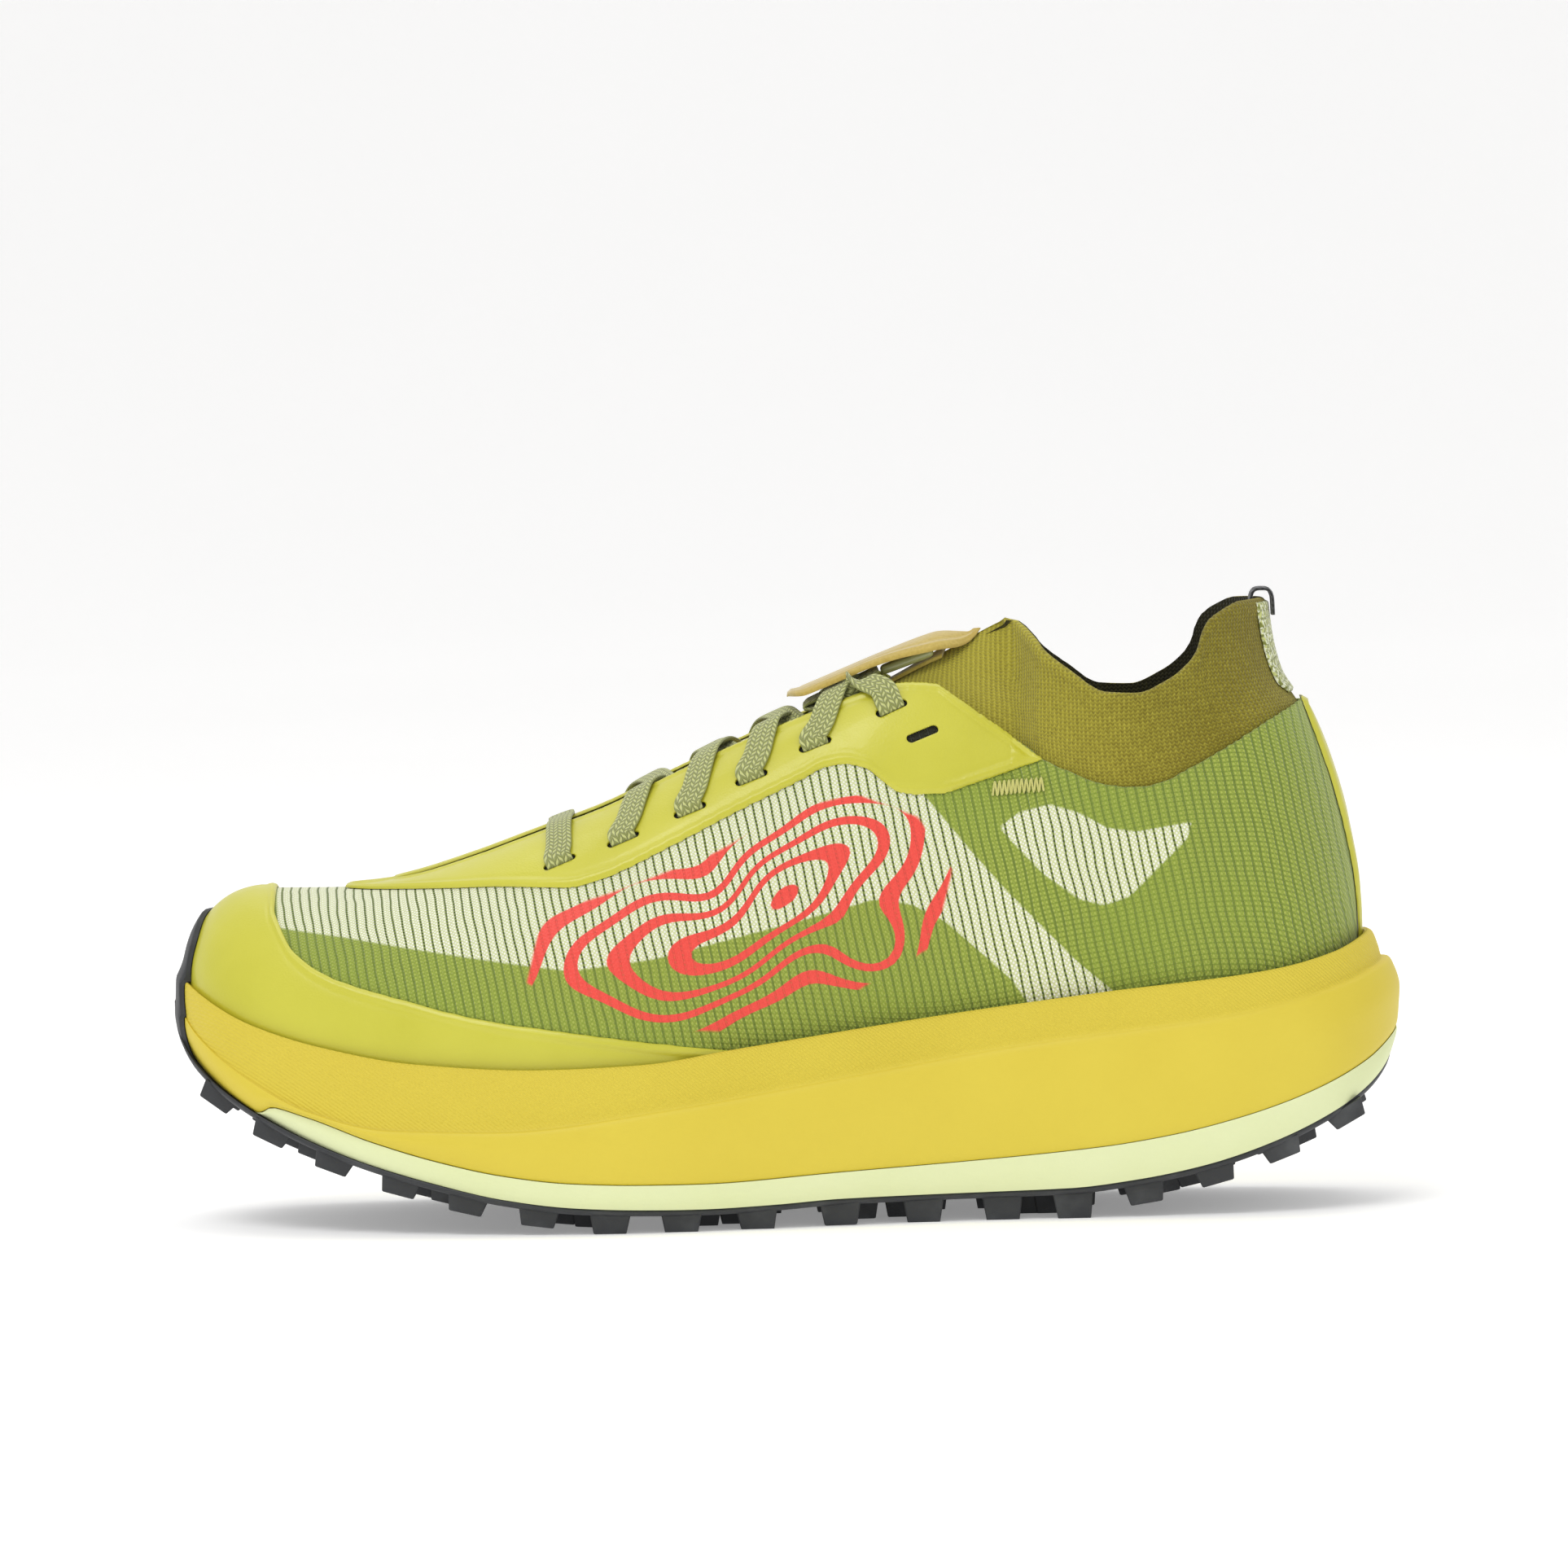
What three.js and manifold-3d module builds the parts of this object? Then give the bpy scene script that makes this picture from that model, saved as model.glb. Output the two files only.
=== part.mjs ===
// A left trail running shoe, in millimetres: +Z up, the toe towards -X, the lateral (outer) side towards -Y.
// The origin is on the ground under the middle of the shoe.
//
// Two families of shape carry the whole design. The sole parts are stacks of foot-shaped rings, each ring
// with its own length, inset and side profile. The upper parts are layers of one envelope, a surface of ribs
// that run from the sole's rim up to the ridge of the instep or the collar's rim. Each layer lies a stated
// distance inside or outside the envelope and is cut to its outline as seen from the side.
import * as THREE from "three";
import { mergeVertices } from "three/addons/utils/BufferGeometryUtils.js";
import Module from "manifold-3d";

const wasm = await Module();
wasm.setup();

// ---------------------------------------------------------------- driving dimensions

const TOE_X = -147.7; // foremost point of the foam; the toe bumper adds its own thickness
const HEEL_X = 149.3; // rearmost point of the sole
const STATIONS = 17; // steps from toe to heel, on each side of a sole ring
const GAP = 0.3; // clearance between neighbouring layers

const RUBBER = 1.5; // outsole sheet
const RIM_INSET = 8; // inner face of the midsole's cup wall, in from the widest outline
const UPPER_INSET = 9.7; // the envelope's base, in from the widest outline
const UPPER_TOE_X = -144.9;
const UPPER_HEEL_X = 139.4;
// Where the upper's ribs stand, from toe to heel.
const RIBS = [
  UPPER_TOE_X, -141.5, -131, -116, -97, -77, -57, -37, -17, 3, 22, 40, 55.4, 67, 79, 91, 103, 114, 126, 135.8,
  UPPER_HEEL_X,
];

// Distances from the envelope, outwards positive: [inner face, outer face].
const LAYER = {
  film: [0.3, 0.9],
  mesh: [-1.0, 0],
  backing: [-1.8, -1.3],
  puff: [-1.9, -1.3],
  counter: [-2.4, -1.3],
  collarKnit: [-2.9, -1.3],
  webbing: [-1.0, -0.2],
  foam: [-6.4, -3.2],
  lining: [-7.6, -6.7],
};
const TONGUE_DROP = 3.1; // how much deeper the knit lies under the laces than at the collar
const PANEL_RISE = 0.35; // the tongue panel's clearance above the knit
const PANEL_THICK = 0.8;

const LACE_WIDTH = 6.6;
const LACE_THICK = 0.9;
const SLOT_LENGTH = 8.2;
const SLOT_HEIGHT = 2.4;

const COLLAR_FRONT_X = 55.4;
const COLLAR_BACK_X = 119.4;
const COLLAR_HALF_WIDTH = 28;

// ---------------------------------------------------------------- curves

// A smooth curve without overshoot through hand-set points [x, value], in order of x.
function curve(points) {
  const n = points.length;
  const slopes = [];
  for (let i = 0; i < n - 1; i++) {
    slopes.push((points[i + 1][1] - points[i][1]) / (points[i + 1][0] - points[i][0]));
  }
  const tangents = points.map((_, i) => {
    if (i === 0) return slopes[0];
    if (i === n - 1) return slopes[n - 2];
    const [a, b] = [slopes[i - 1], slopes[i]];
    return a * b <= 0 ? 0 : (2 * a * b) / (a + b);
  });
  return (x) => {
    if (x <= points[0][0]) return points[0][1];
    if (x >= points[n - 1][0]) return points[n - 1][1];
    let i = 0;
    while (x > points[i + 1][0]) i++;
    const h = points[i + 1][0] - points[i][0];
    const t = (x - points[i][0]) / h;
    const [t2, t3] = [t * t, t * t * t];
    return (
      points[i][1] * (2 * t3 - 3 * t2 + 1) +
      points[i + 1][1] * (3 * t2 - 2 * t3) +
      h * (tangents[i] * (t3 - 2 * t2 + t) + tangents[i + 1] * (t3 - t2))
    );
  };
}

const mix = (a, b, t) => a + (b - a) * t;
const clamp01 = (t) => Math.min(1, Math.max(0, t));
const smooth = (x, from, to) => {
  const t = clamp01((x - from) / (to - from));
  return t * t * (3 - 2 * t);
};

// Plan outline by the fraction of length from the toe: half width before rounding the ends, and centre line.
const along = (x) => (x - TOE_X) / (HEEL_X - TOE_X);
const halfWidth = curve([
  [0, 82], [0.07, 76], [0.17, 66], [0.3, 60], [0.37, 56.5], [0.5, 47], [0.64, 41.8], [0.77, 48.7],
  [0.89, 64], [0.955, 76], [1, 84],
]);
const centreLine = curve([
  [0, 9], [0.07, 8], [0.17, 4.2], [0.3, 0.3], [0.37, -1.2], [0.5, -2.8], [0.64, -2], [1, 0.5],
]);

const ridgeY = (x) => 0.8 * centreLine(along(x)); // the instep's ridge as seen from above

// Side profiles: heights by x.
const soleBottom = curve([
  [-149.3, 58], [-149, 53.5], [-148.2, 48.5], [-146.1, 44], [-142.8, 39.6], [-132, 31.3], [-116.4, 23.2],
  [-100.5, 17], [-84.6, 12.4], [-68.7, 8.7], [-52, 6.5], [-36, 5.7], [-20, 5.4], [-4, 5.8], [12, 6.6],
  [45, 6.9],
  [67, 7.4], [83, 9.1], [99, 12.1], [115.5, 17.1], [131.7, 24.1], [140, 29.2], [145, 33.8], [149.3, 41],
]);
const carrierTop = curve([
  [-129, 29.7], [-125.5, 30.6], [-116, 28.4], [-100, 22.6], [-84.5, 18], [-68.6, 14.5], [-52.6, 12.5],
  [-36, 11.8], [-20, 11.6], [11, 13.1], [43.5, 14.7], [75.5, 17.4], [91.6, 19.8], [107.7, 23.5],
  [123.8, 28.5], [140, 35.8], [149.3, 42.6],
]);
const ledge = curve([
  [-149.2, 55], [-142.8, 47], [-130.7, 37.9], [-115, 29.9], [-95.9, 25.7], [-70.3, 25.3], [-28.6, 29.8],
  [10, 35.5], [60, 43], [105.2, 48.3], [123.3, 51.9], [135.4, 55.1], [147, 59.5],
]);
const rimTop = curve([
  [-148.7, 61.5], [-143, 57.4], [-130.4, 50.7], [-111.5, 45.1], [-89.2, 41.2], [-60, 39.6], [-34.8, 40.3],
  [-12.9, 43.2], [28.2, 48.5], [76.4, 54.4], [116.5, 58.7], [132.6, 62.1], [141.6, 65.6],
]);
const bed = curve([
  [-147, 53], [-140, 48.5], [-120, 40], [-100, 34], [-75, 29.6], [-50, 28], [-20, 28.6], [10, 31],
  [40, 34], [70, 36.8], [100, 38.6], [125, 40], [141, 42],
]);

// The envelope: where each rib's foot meets the rim, and where its head meets the ridge or the collar's rim.
const ribHeadX = curve([
  [UPPER_TOE_X, -123], [-140, -119.5], [-120, -107], [-95, -90], [-60, -59], [0, 0], [60, 60],
  [100, 93.5], [125, 110], [UPPER_HEEL_X, COLLAR_BACK_X],
]);
const ridge = curve([
  [-123, 81.2], [-107, 80.9], [-99, 81.4], [-91, 83], [-75, 88], [-58.7, 94], [-42.6, 100], [-26.4, 108],
  [-10.2, 116], [6, 123.2], [22, 130.4], [38, 137.4], [47.4, 141.3], [COLLAR_FRONT_X, 144.6],
]);
const collarRim = curve([
  [COLLAR_FRONT_X, 144.6], [61.2, 137.6], [69.1, 131.4], [78, 126], [86, 125.6], [94, 128.6],
  [99.1, 132.1],
  [101.6, 135.3], [102.8, 138.8], [105, 142.4], [109.4, 145.2], [113.5, 146.8], [COLLAR_BACK_X, 147.2],
]);
const ribSide = curve([
  [-123, 0.78], [-95, 0.8], [-40, 0.77], [20, 0.76], [70, 0.86],
]); // how boxy a vamp rib is
const quarterLean = curve([
  [0, 0], [0.12, 0], [0.35, 0.13], [0.53, 0.33], [0.69, 0.6], [0.79, 0.85], [0.89, 0.95], [1, 1],
]);

// Outlines on the side of the upper, from toe to heel.
const guardEdge = [
  [-123.2, 90], [-123.4, 76], [-118.4, 67.4], [-108.5, 61.2], [-92.6, 56.4], [-72.7, 51.4],
  [-52.8, 48.3], [-33, 45.3], [-12.9, 42.6],
];
const stayLower = [
  [-100, 80.9], [-92, 81.2], [-80, 81.7], [-67, 82.2], [-52, 82], [-43, 84.1], [-27, 91.2], [-10.6, 99.2],
  [5.5, 106.6], [10.6, 109.1], [15.6, 109.8], [20.6, 108.7], [24.5, 105.6], [28.4, 102.9], [33.4, 102.2],
  [38.4, 102.3], [46.5, 104.5], [54.5, 106.9], [64, 110.2],
];
const throatHalf = curve([
  [-94, 3], [-91, 6.5], [-84, 8.6], [-60, 10.4], [-20, 12], [10, 12.6], [44, 13.5],
]); // from above
const topLine = [
  [26, 131.6], [31.1, 131.6], [37.1, 128.6], [48.9, 120.4], [58.7, 113.4], [63.6, 109.9],
  [70.5, 106.7], [77.5, 104], [85.5, 103.2], [90.5, 103.9], [98.6, 107.5], [108.7, 112.9],
  [118.8, 118.5], [127.5, 122.6],
];

const SLOTS = [
  [-53.6, 87.4, 24], [-38, 92.6, 22], [-21.8, 99.3, 23], [-6.9, 106.7, 24], [8.6, 114.2, 23],
  [26.9, 122.4, 31],
];
const SPARE_SLOT = [34.1, 116.3, 25];

// ---------------------------------------------------------------- solids

function manifoldOf(geometry) {
  const bare = new THREE.BufferGeometry();
  bare.setAttribute("position", geometry.getAttribute("position"));
  if (geometry.index) bare.setIndex(geometry.index);
  const merged = mergeVertices(bare, 1e-3);
  const index = [];
  const ids = merged.index.array;
  for (let i = 0; i < ids.length; i += 3) {
    const [a, b, c] = [ids[i], ids[i + 1], ids[i + 2]];
    if (a !== b && b !== c && c !== a) index.push(a, b, c);
  }
  return new wasm.Manifold(
    new wasm.Mesh({
      numProp: 3,
      vertProperties: new Float32Array(merged.attributes.position.array),
      triVerts: new Uint32Array(index),
    }),
  );
}

function geometryOf(solid) {
  const mesh = solid.getMesh();
  const geometry = new THREE.BufferGeometry();
  geometry.setAttribute("position", new THREE.BufferAttribute(new Float32Array(mesh.vertProperties), 3));
  geometry.setIndex(new THREE.BufferAttribute(new Uint32Array(mesh.triVerts), 1));
  geometry.computeVertexNormals();
  return geometry;
}

function solidOf(points, triangles) {
  const geometry = new THREE.BufferGeometry();
  const places = points.flatMap((p) => [p.x, p.y, p.z]);
  geometry.setAttribute("position", new THREE.Float32BufferAttribute(places, 3));
  geometry.setIndex(triangles);
  return manifoldOf(geometry);
}

// The main body of a solid, without slivers that a cut may leave.
const mainBody = (solid) => solid.decompose().sort((a, b) => b.volume() - a.volume())[0];

// An outline seen from the side, [x, z], run straight across the shoe between two values of y.
function sideBlock(outline, fromY = -90, toY = 90) {
  const shape = new THREE.Shape(outline.map(([x, z]) => new THREE.Vector2(x, z)));
  const block = new THREE.ExtrudeGeometry(shape, { depth: toY - fromY, bevelEnabled: false });
  block.rotateX(Math.PI / 2);
  block.translate(0, toY, 0);
  return manifoldOf(block);
}

// An outline seen from above, [x, y], run straight up through the upper.
function planBlock(outline) {
  const shape = new THREE.Shape(outline.map(([x, y]) => new THREE.Vector2(x, y)));
  const block = new THREE.ExtrudeGeometry(shape, { depth: 130, bevelEnabled: false });
  return manifoldOf(block.translate(0, 0, 60));
}

// A band along the ridge as seen from above, its half width by x.
function ridgeBand(fromX, toX, half, steps = 6) {
  const stations = Array.from({ length: steps + 1 }, (_, i) => mix(fromX, toX, i / steps));
  const edge = (sign) => stations.map((x) => [x, ridgeY(x) + sign * half(x)]);
  return planBlock([...edge(-1), ...edge(1).reverse()]);
}

// Points along a smooth line through hand-set points.
function smoothLine(points, steps = 1) {
  const spline = new THREE.SplineCurve(points.map(([x, z]) => new THREE.Vector2(x, z)));
  return spline.getPoints((points.length - 1) * steps).map((p) => [p.x, p.y]);
}

// ---------------------------------------------------------------- the sole: stacks of rings

// One foot-shaped ring: its ends, how far it lies inside the widest outline, and its height by x.
function ring(front, back, inset, height) {
  const points = [];
  for (let i = 0; i < 2 * STATIONS; i++) {
    const angle = (i * Math.PI) / STATIONS;
    const fraction = (1 - Math.cos(angle)) / 2;
    const x = mix(front, back, fraction);
    const y = centreLine(fraction) - Math.sin(angle) * (halfWidth(fraction) - inset);
    points.push(new THREE.Vector3(x, y, height(x)));
  }
  return points;
}

// A closed solid through rings, from the lowest to the last, each end closed straight across.
function ringSolid(rings) {
  const around = 2 * STATIONS;
  const points = rings.flat();
  const triangles = [];
  for (let r = 0; r < rings.length - 1; r++) {
    for (let i = 0; i < around; i++) {
      const j = (i + 1) % around;
      const [a, b, c, d] = [r * around + i, r * around + j, (r + 1) * around + j, (r + 1) * around + i];
      triangles.push(a, b, c, a, c, d);
    }
  }
  for (const [base, flip] of [[0, true], [(rings.length - 1) * around, false]]) {
    for (let i = 0; i < STATIONS; i++) {
      const [a, b] = [base + i, base + i + 1];
      const [c, d] = [base + ((around - i - 1) % around), base + ((around - i) % around)];
      const quad = flip ? [a, c, b, a, d, c] : [a, b, c, a, c, d];
      triangles.push(...quad);
    }
  }
  return solidOf(points, triangles);
}

// The same rings moved up, or down by a negative rise.
const raised = (rings, rise) => rings.map((points) => points.map((p) => p.clone().setZ(p.z + rise)));

function foamBottom(x) {
  const overCarrier = Math.max(carrierTop(x), soleBottom(x));
  return mix(soleBottom(x), overCarrier, smooth(x, -129, -124)) + GAP / 2;
}

const foamLevel = (share) => (x) => mix(foamBottom(x), ledge(x), share);
const bandLevel = (share) => (x) => mix(ledge(x), rimTop(x), share);

// The outside of the yellow foam, swollen by some clearance.
function foamWall(swell = 0) {
  const wall = (front, back, inset, height) => ring(front - swell, back + swell, inset - swell, height);
  return [
    wall(TOE_X + 2.4, HEEL_X - 1.8, 2.6, foamBottom),
    wall(TOE_X + 0.9, HEEL_X - 0.4, 0.8, foamLevel(0.25)),
    wall(TOE_X, HEEL_X, 0, foamLevel(0.55)),
    wall(TOE_X, HEEL_X - 1.8, 0.9, foamLevel(0.93)),
    wall(TOE_X + 0.3, HEEL_X - 4.4, 2.4, bandLevel(0.02)),
    wall(TOE_X + 0.3, HEEL_X - 5.2, 3.4, bandLevel(0.55)),
    wall(TOE_X + 1, HEEL_X - 7.6, 5.6, rimTop),
  ];
}

const foamRings = [
  ...foamWall(),
  ring(TOE_X + 1.9, HEEL_X - 8.2, RIM_INSET - 0.4, rimTop),
  ring(TOE_X + 2.2, HEEL_X - 8.4, RIM_INSET, (x) => Math.max(bed(x) + 1, rimTop(x) - 6)),
  ring(TOE_X + 2.4, HEEL_X - 9, RIM_INSET + 0.4, bed),
];

const carrierUnder = (x) => soleBottom(x) + GAP / 2;
const carrierOver = (x) => Math.max(carrierTop(x), carrierUnder(x) + 0.6) - GAP / 2;
const carrierRings = [
  ring(-126.5, HEEL_X - 2.6, 3.6, carrierUnder),
  ring(-127.5, HEEL_X - 1.4, 2.2, (x) => mix(carrierUnder(x), carrierOver(x), 0.5)),
  ring(-127.5, HEEL_X - 1.2, 2.2, carrierOver),
];

const midsoleCarrier = () => ringSolid(carrierRings);
const midsoleFoam = () => ringSolid(foamRings).subtract(ringSolid(raised(carrierRings, GAP)));

const boardRings = [GAP, GAP + 1.1].map((rise) =>
  ring(TOE_X + 5.6, HEEL_X - 12.8, RIM_INSET + 3.6, (x) => bed(x) + rise),
);
const strobelBoard = () => ringSolid(boardRings).subtract(ringSolid(raised(foamRings, GAP)));

function insole() {
  const lift = 1.9;
  const cup = (x) => mix(0.5, 5, smooth(x, 40, 120)) + 2 * smooth(x, -120, -140);
  const body = ringSolid([
    ring(TOE_X + 10.5, HEEL_X - 19, RIM_INSET + 8, (x) => bed(x) + lift),
    ring(TOE_X + 9, HEEL_X - 17.4, RIM_INSET + 6.4, (x) => bed(x) + lift + 2),
    ring(TOE_X + 9, HEEL_X - 17.4, RIM_INSET + 6.4, (x) => bed(x) + lift + 4 + cup(x)),
    ring(TOE_X + 10.4, HEEL_X - 18.8, RIM_INSET + 7.8, (x) => bed(x) + lift + 4 + cup(x)),
    ring(TOE_X + 17, HEEL_X - 27, RIM_INSET + 14, (x) => bed(x) + lift + 4),
  ]);
  return body.subtract(ringSolid(raised(boardRings, GAP)));
}

// ---------------------------------------------------------------- the upper: layers of one envelope

// A point of the envelope: angle 0 at the toe, through the lateral side to PI at the heel; share 0 at the rim
// to 1 at the ridge or collar, and -1 at the foot of the hidden skirt inside the cup.
function envelopePoint(angle, share) {
  const fraction = (1 - Math.cos(angle)) / 2;
  const x = mix(UPPER_TOE_X, UPPER_HEEL_X, fraction);
  const y = centreLine(fraction) - Math.sin(angle) * (halfWidth(fraction) - UPPER_INSET);
  const foot = new THREE.Vector3(x, y, rimTop(x) - 0.5);
  if (share < 0) {
    foot.z = mix(foot.z, bed(x) + 1, -share);
    return foot;
  }
  const headX = ribHeadX(x);
  const open = clamp01((headX - COLLAR_FRONT_X) / (COLLAR_BACK_X - COLLAR_FRONT_X));
  const side = Math.sin(angle) < 0 ? -1 : 1;
  const halfOpening = COLLAR_HALF_WIDTH * Math.sqrt(4 * open * (1 - open));
  const head = new THREE.Vector3(
    headX,
    ridgeY(headX) - side * halfOpening,
    open > 0 ? collarRim(headX) : ridge(headX),
  );
  const turn = (share * Math.PI) / 2;
  const vampIn = 1 - Math.pow(Math.max(0, Math.cos(turn)), ribSide(headX));
  const vampUp = Math.sin(turn);
  const quarter = smooth(x, 20, 84);
  const inward = mix(vampIn, quarterLean(share), quarter);
  const upward = mix(vampUp, share, quarter);
  return new THREE.Vector3(
    mix(foot.x, head.x, inward),
    mix(foot.y, head.y, inward),
    mix(foot.z, head.z, upward),
  );
}

const ROWS = [-1, 0, 0.16, 0.33, 0.5, 0.66, 0.8, 0.91, 1];
const LAST_RIB = RIBS.length - 1;
const AROUND = 2 * LAST_RIB;
const ribAngle = (x) => Math.acos(1 - (2 * (x - UPPER_TOE_X)) / (UPPER_HEEL_X - UPPER_TOE_X));
const columnAngle = (i) => (i <= LAST_RIB ? ribAngle(RIBS[i]) : 2 * Math.PI - ribAngle(RIBS[AROUND - i]));

// The envelope as a grid, with one outward direction per point shared by points in the same place.
const envelope = (() => {
  const points = [];
  for (const share of ROWS) {
    for (let i = 0; i < AROUND; i++) points.push(envelopePoint(columnAngle(i), share));
  }
  const quads = [];
  for (let r = 0; r < ROWS.length - 1; r++) {
    for (let i = 0; i < AROUND; i++) {
      const j = (i + 1) % AROUND;
      quads.push([r * AROUND + i, r * AROUND + j, (r + 1) * AROUND + j, (r + 1) * AROUND + i]);
    }
  }
  const key = (p) => p.toArray().map((v) => Math.round(v * 100)).join();
  const sums = new Map();
  for (const p of points) if (!sums.has(key(p))) sums.set(key(p), new THREE.Vector3());
  for (const [a, b, c, d] of quads) {
    const normal = new THREE.Vector3().subVectors(points[c], points[a]);
    normal.cross(new THREE.Vector3().subVectors(points[d], points[b]));
    for (const k of new Set([a, b, c, d].map((v) => key(points[v])))) sums.get(k).add(normal);
  }
  const normals = points.map((p) => sums.get(key(p)).clone().normalize());
  return { points, quads, normals };
})();

// The envelope moved out by a distance, which may depend on x.
function envelopeAt(distance) {
  const far = typeof distance === "function" ? distance : () => distance;
  return envelope.points.map((p, i) => p.clone().addScaledVector(envelope.normals[i], far(p.x)));
}

// Everything inside the envelope, swollen by a distance.
function envelopeSolid(distance) {
  const points = envelopeAt(distance);
  const triangles = envelope.quads.flatMap(([a, b, c, d]) => [a, b, c, a, c, d]);
  const top = (ROWS.length - 1) * AROUND;
  for (let i = 0; i < LAST_RIB; i++) {
    const [k, l] = [(AROUND - i - 1) % AROUND, (AROUND - i) % AROUND];
    triangles.push(i, k, i + 1, i, l, k);
    triangles.push(top + i, top + i + 1, top + k, top + i, top + k, top + l);
  }
  return solidOf(points, triangles);
}

// A layer of the envelope between two distances, open at the foot and at the collar.
function layer([inner, outer]) {
  const [ins, outs] = [envelopeAt(inner), envelopeAt(outer)];
  const count = outs.length;
  const triangles = envelope.quads.flatMap(([a, b, c, d]) => [a, b, c, a, c, d]);
  for (const quad of envelope.quads) {
    const [a, b, c, d] = quad.map((index) => index + count);
    triangles.push(a, c, b, a, d, c);
  }
  const top = (ROWS.length - 1) * AROUND;
  const isOpen = (i) => outs[top + i].distanceTo(outs[top + ((AROUND - i) % AROUND)]) > 1e-3;
  for (let i = 0; i < AROUND; i++) {
    const j = (i + 1) % AROUND;
    triangles.push(i + count, j, i, i + count, j + count, j);
    if (isOpen(i) || isOpen(j)) {
      const [a, b] = [top + i, top + j];
      triangles.push(a, b, b + count, a, b + count, a + count);
    }
  }
  return solidOf([...outs, ...ins], triangles);
}

// ---------------------------------------------------------------- places on the envelope

// A point on the faces of the envelope, moved out by a height: rib station x, side -1 or 1, share of the rib.
function surfaceAt(x, side, share, height = 0) {
  let rib = 0;
  while (rib < LAST_RIB - 1 && x > RIBS[rib + 1]) rib++;
  const across = (ribAngle(x) - ribAngle(RIBS[rib])) / (ribAngle(RIBS[rib + 1]) - ribAngle(RIBS[rib]));
  let row = 0;
  while (row < ROWS.length - 2 && share > ROWS[row + 1]) row++;
  const rise = clamp01((share - ROWS[row]) / (ROWS[row + 1] - ROWS[row]));
  const [left, right] = side < 0 ? [rib, rib + 1] : [(AROUND - rib) % AROUND, AROUND - rib - 1];
  const corner = (r, i) => {
    const index = r * AROUND + i;
    return envelope.points[index].clone().addScaledVector(envelope.normals[index], height);
  };
  const low = corner(row, left).lerp(corner(row, right), across);
  return low.lerp(corner(row + 1, left).lerp(corner(row + 1, right), across), rise);
}

// A frame on the envelope at a side-view place: its point, outward direction, and the direction that climbs
// by a tilt in degrees as seen from the side.
function frameAt([x, z, tilt], side) {
  let [low, high] = [0, 1];
  for (let i = 0; i < 24; i++) {
    const middle = (low + high) / 2;
    if (surfaceAt(x, side, middle).z < z) low = middle;
    else high = middle;
  }
  const point = surfaceAt(x, side, low);
  const out = surfaceAt(x, side, low, 1).sub(point).normalize();
  const angle = (tilt * Math.PI) / 180;
  const along = new THREE.Vector3(Math.cos(angle), 0, Math.sin(angle));
  along.addScaledVector(out, -along.dot(out)).normalize();
  const inward = new THREE.Vector3().crossVectors(along, out).multiplyScalar(side).normalize();
  return { x, side, share: low, point, out, along, inward };
}

function slotCutter(slot, side) {
  const { point, out, along } = frameAt(slot, side);
  const cutter = new THREE.BoxGeometry(SLOT_LENGTH, SLOT_HEIGHT, 8);
  const frame = new THREE.Matrix4().makeBasis(along, new THREE.Vector3().crossVectors(out, along), out);
  return manifoldOf(cutter.applyMatrix4(frame.setPosition(point)));
}

// ---------------------------------------------------------------- upper parts

const SKY = 170;
const throat = ridgeBand(-94, 42, throatHalf, 8);
const collarOpening = sideBlock([...smoothLine(topLine), [160, 128], [160, SKY], [26, SKY]]);
const aboveOpening = throat.add(collarOpening);

function cutSlots(solid, side) {
  return [...SLOTS, SPARE_SLOT].reduce((rest, slot) => rest.subtract(slotCutter(slot, side)), solid);
}

function upperMesh() {
  return cutSlots(cutSlots(layer(LAYER.mesh).subtract(aboveOpening), -1), 1);
}

function toeGuard() {
  const outline = [...smoothLine(guardEdge), [-12.9, 30], [-170, 30], [-170, 90]];
  return layer(LAYER.film).intersect(sideBlock(outline)).subtract(foamClearance);
}

function eyestay(side) {
  const outline = [...smoothLine(stayLower), [64, SKY], [-100, SKY]];
  const [fromY, toY] = side < 0 ? [-90, 0.9] : [1.3, 90];
  const band = layer(LAYER.film).intersect(sideBlock(outline, fromY, toY));
  return cutSlots(band.subtract(aboveOpening), side);
}

function eyestayBacking(side) {
  const lower = smoothLine(stayLower).filter(([x]) => x > -84 && x < 40).map(([x, z]) => [x, z + 1.2]);
  const [fromY, toY] = side < 0 ? [-90, 0] : [2.5, 90];
  const outline = [...lower, [40, SKY], [-84, SKY]];
  const band = layer(LAYER.backing).intersect(sideBlock(outline, fromY, toY));
  return cutSlots(band.subtract(aboveOpening), side);
}

function heelStrip() {
  const edge = smoothLine([
    [139.3, 50], [139.2, 65], [138.3, 77.6], [136.2, 89.7], [132.9, 102.8], [126.4, 122.2],
  ]);
  const outline = [...edge, [126.4, 123.4], [170, 123.4], [170, 50]];
  return layer(LAYER.film).intersect(sideBlock(outline)).subtract(foamClearance);
}

function heelWebbing() {
  const edge = smoothLine([[124.5, 123], [121, 127], [118, 136], [116.4, 146.4]]);
  return layer(LAYER.webbing).intersect(sideBlock([
    [170, 124.6], [124, 124.6], [170, 146.4],
  ]));
}

const knitDrop = (x) => TONGUE_DROP * (1 - smooth(x, 18, 58));
const knitLayer = LAYER.collarKnit.map((distance) => (x) => distance - knitDrop(x));

function knitBootie() {
  const lower = smoothLine([
    [-99, 72], [-85, 76.5], [-60, 84], [-20, 97], [8, 106], [25, 108], [50, 96], [80, 90], [110, 93],
    [150, 97],
  ]);
  return layer(knitLayer).intersect(sideBlock([...lower, [150, SKY], [-99, SKY]]));
}

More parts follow.
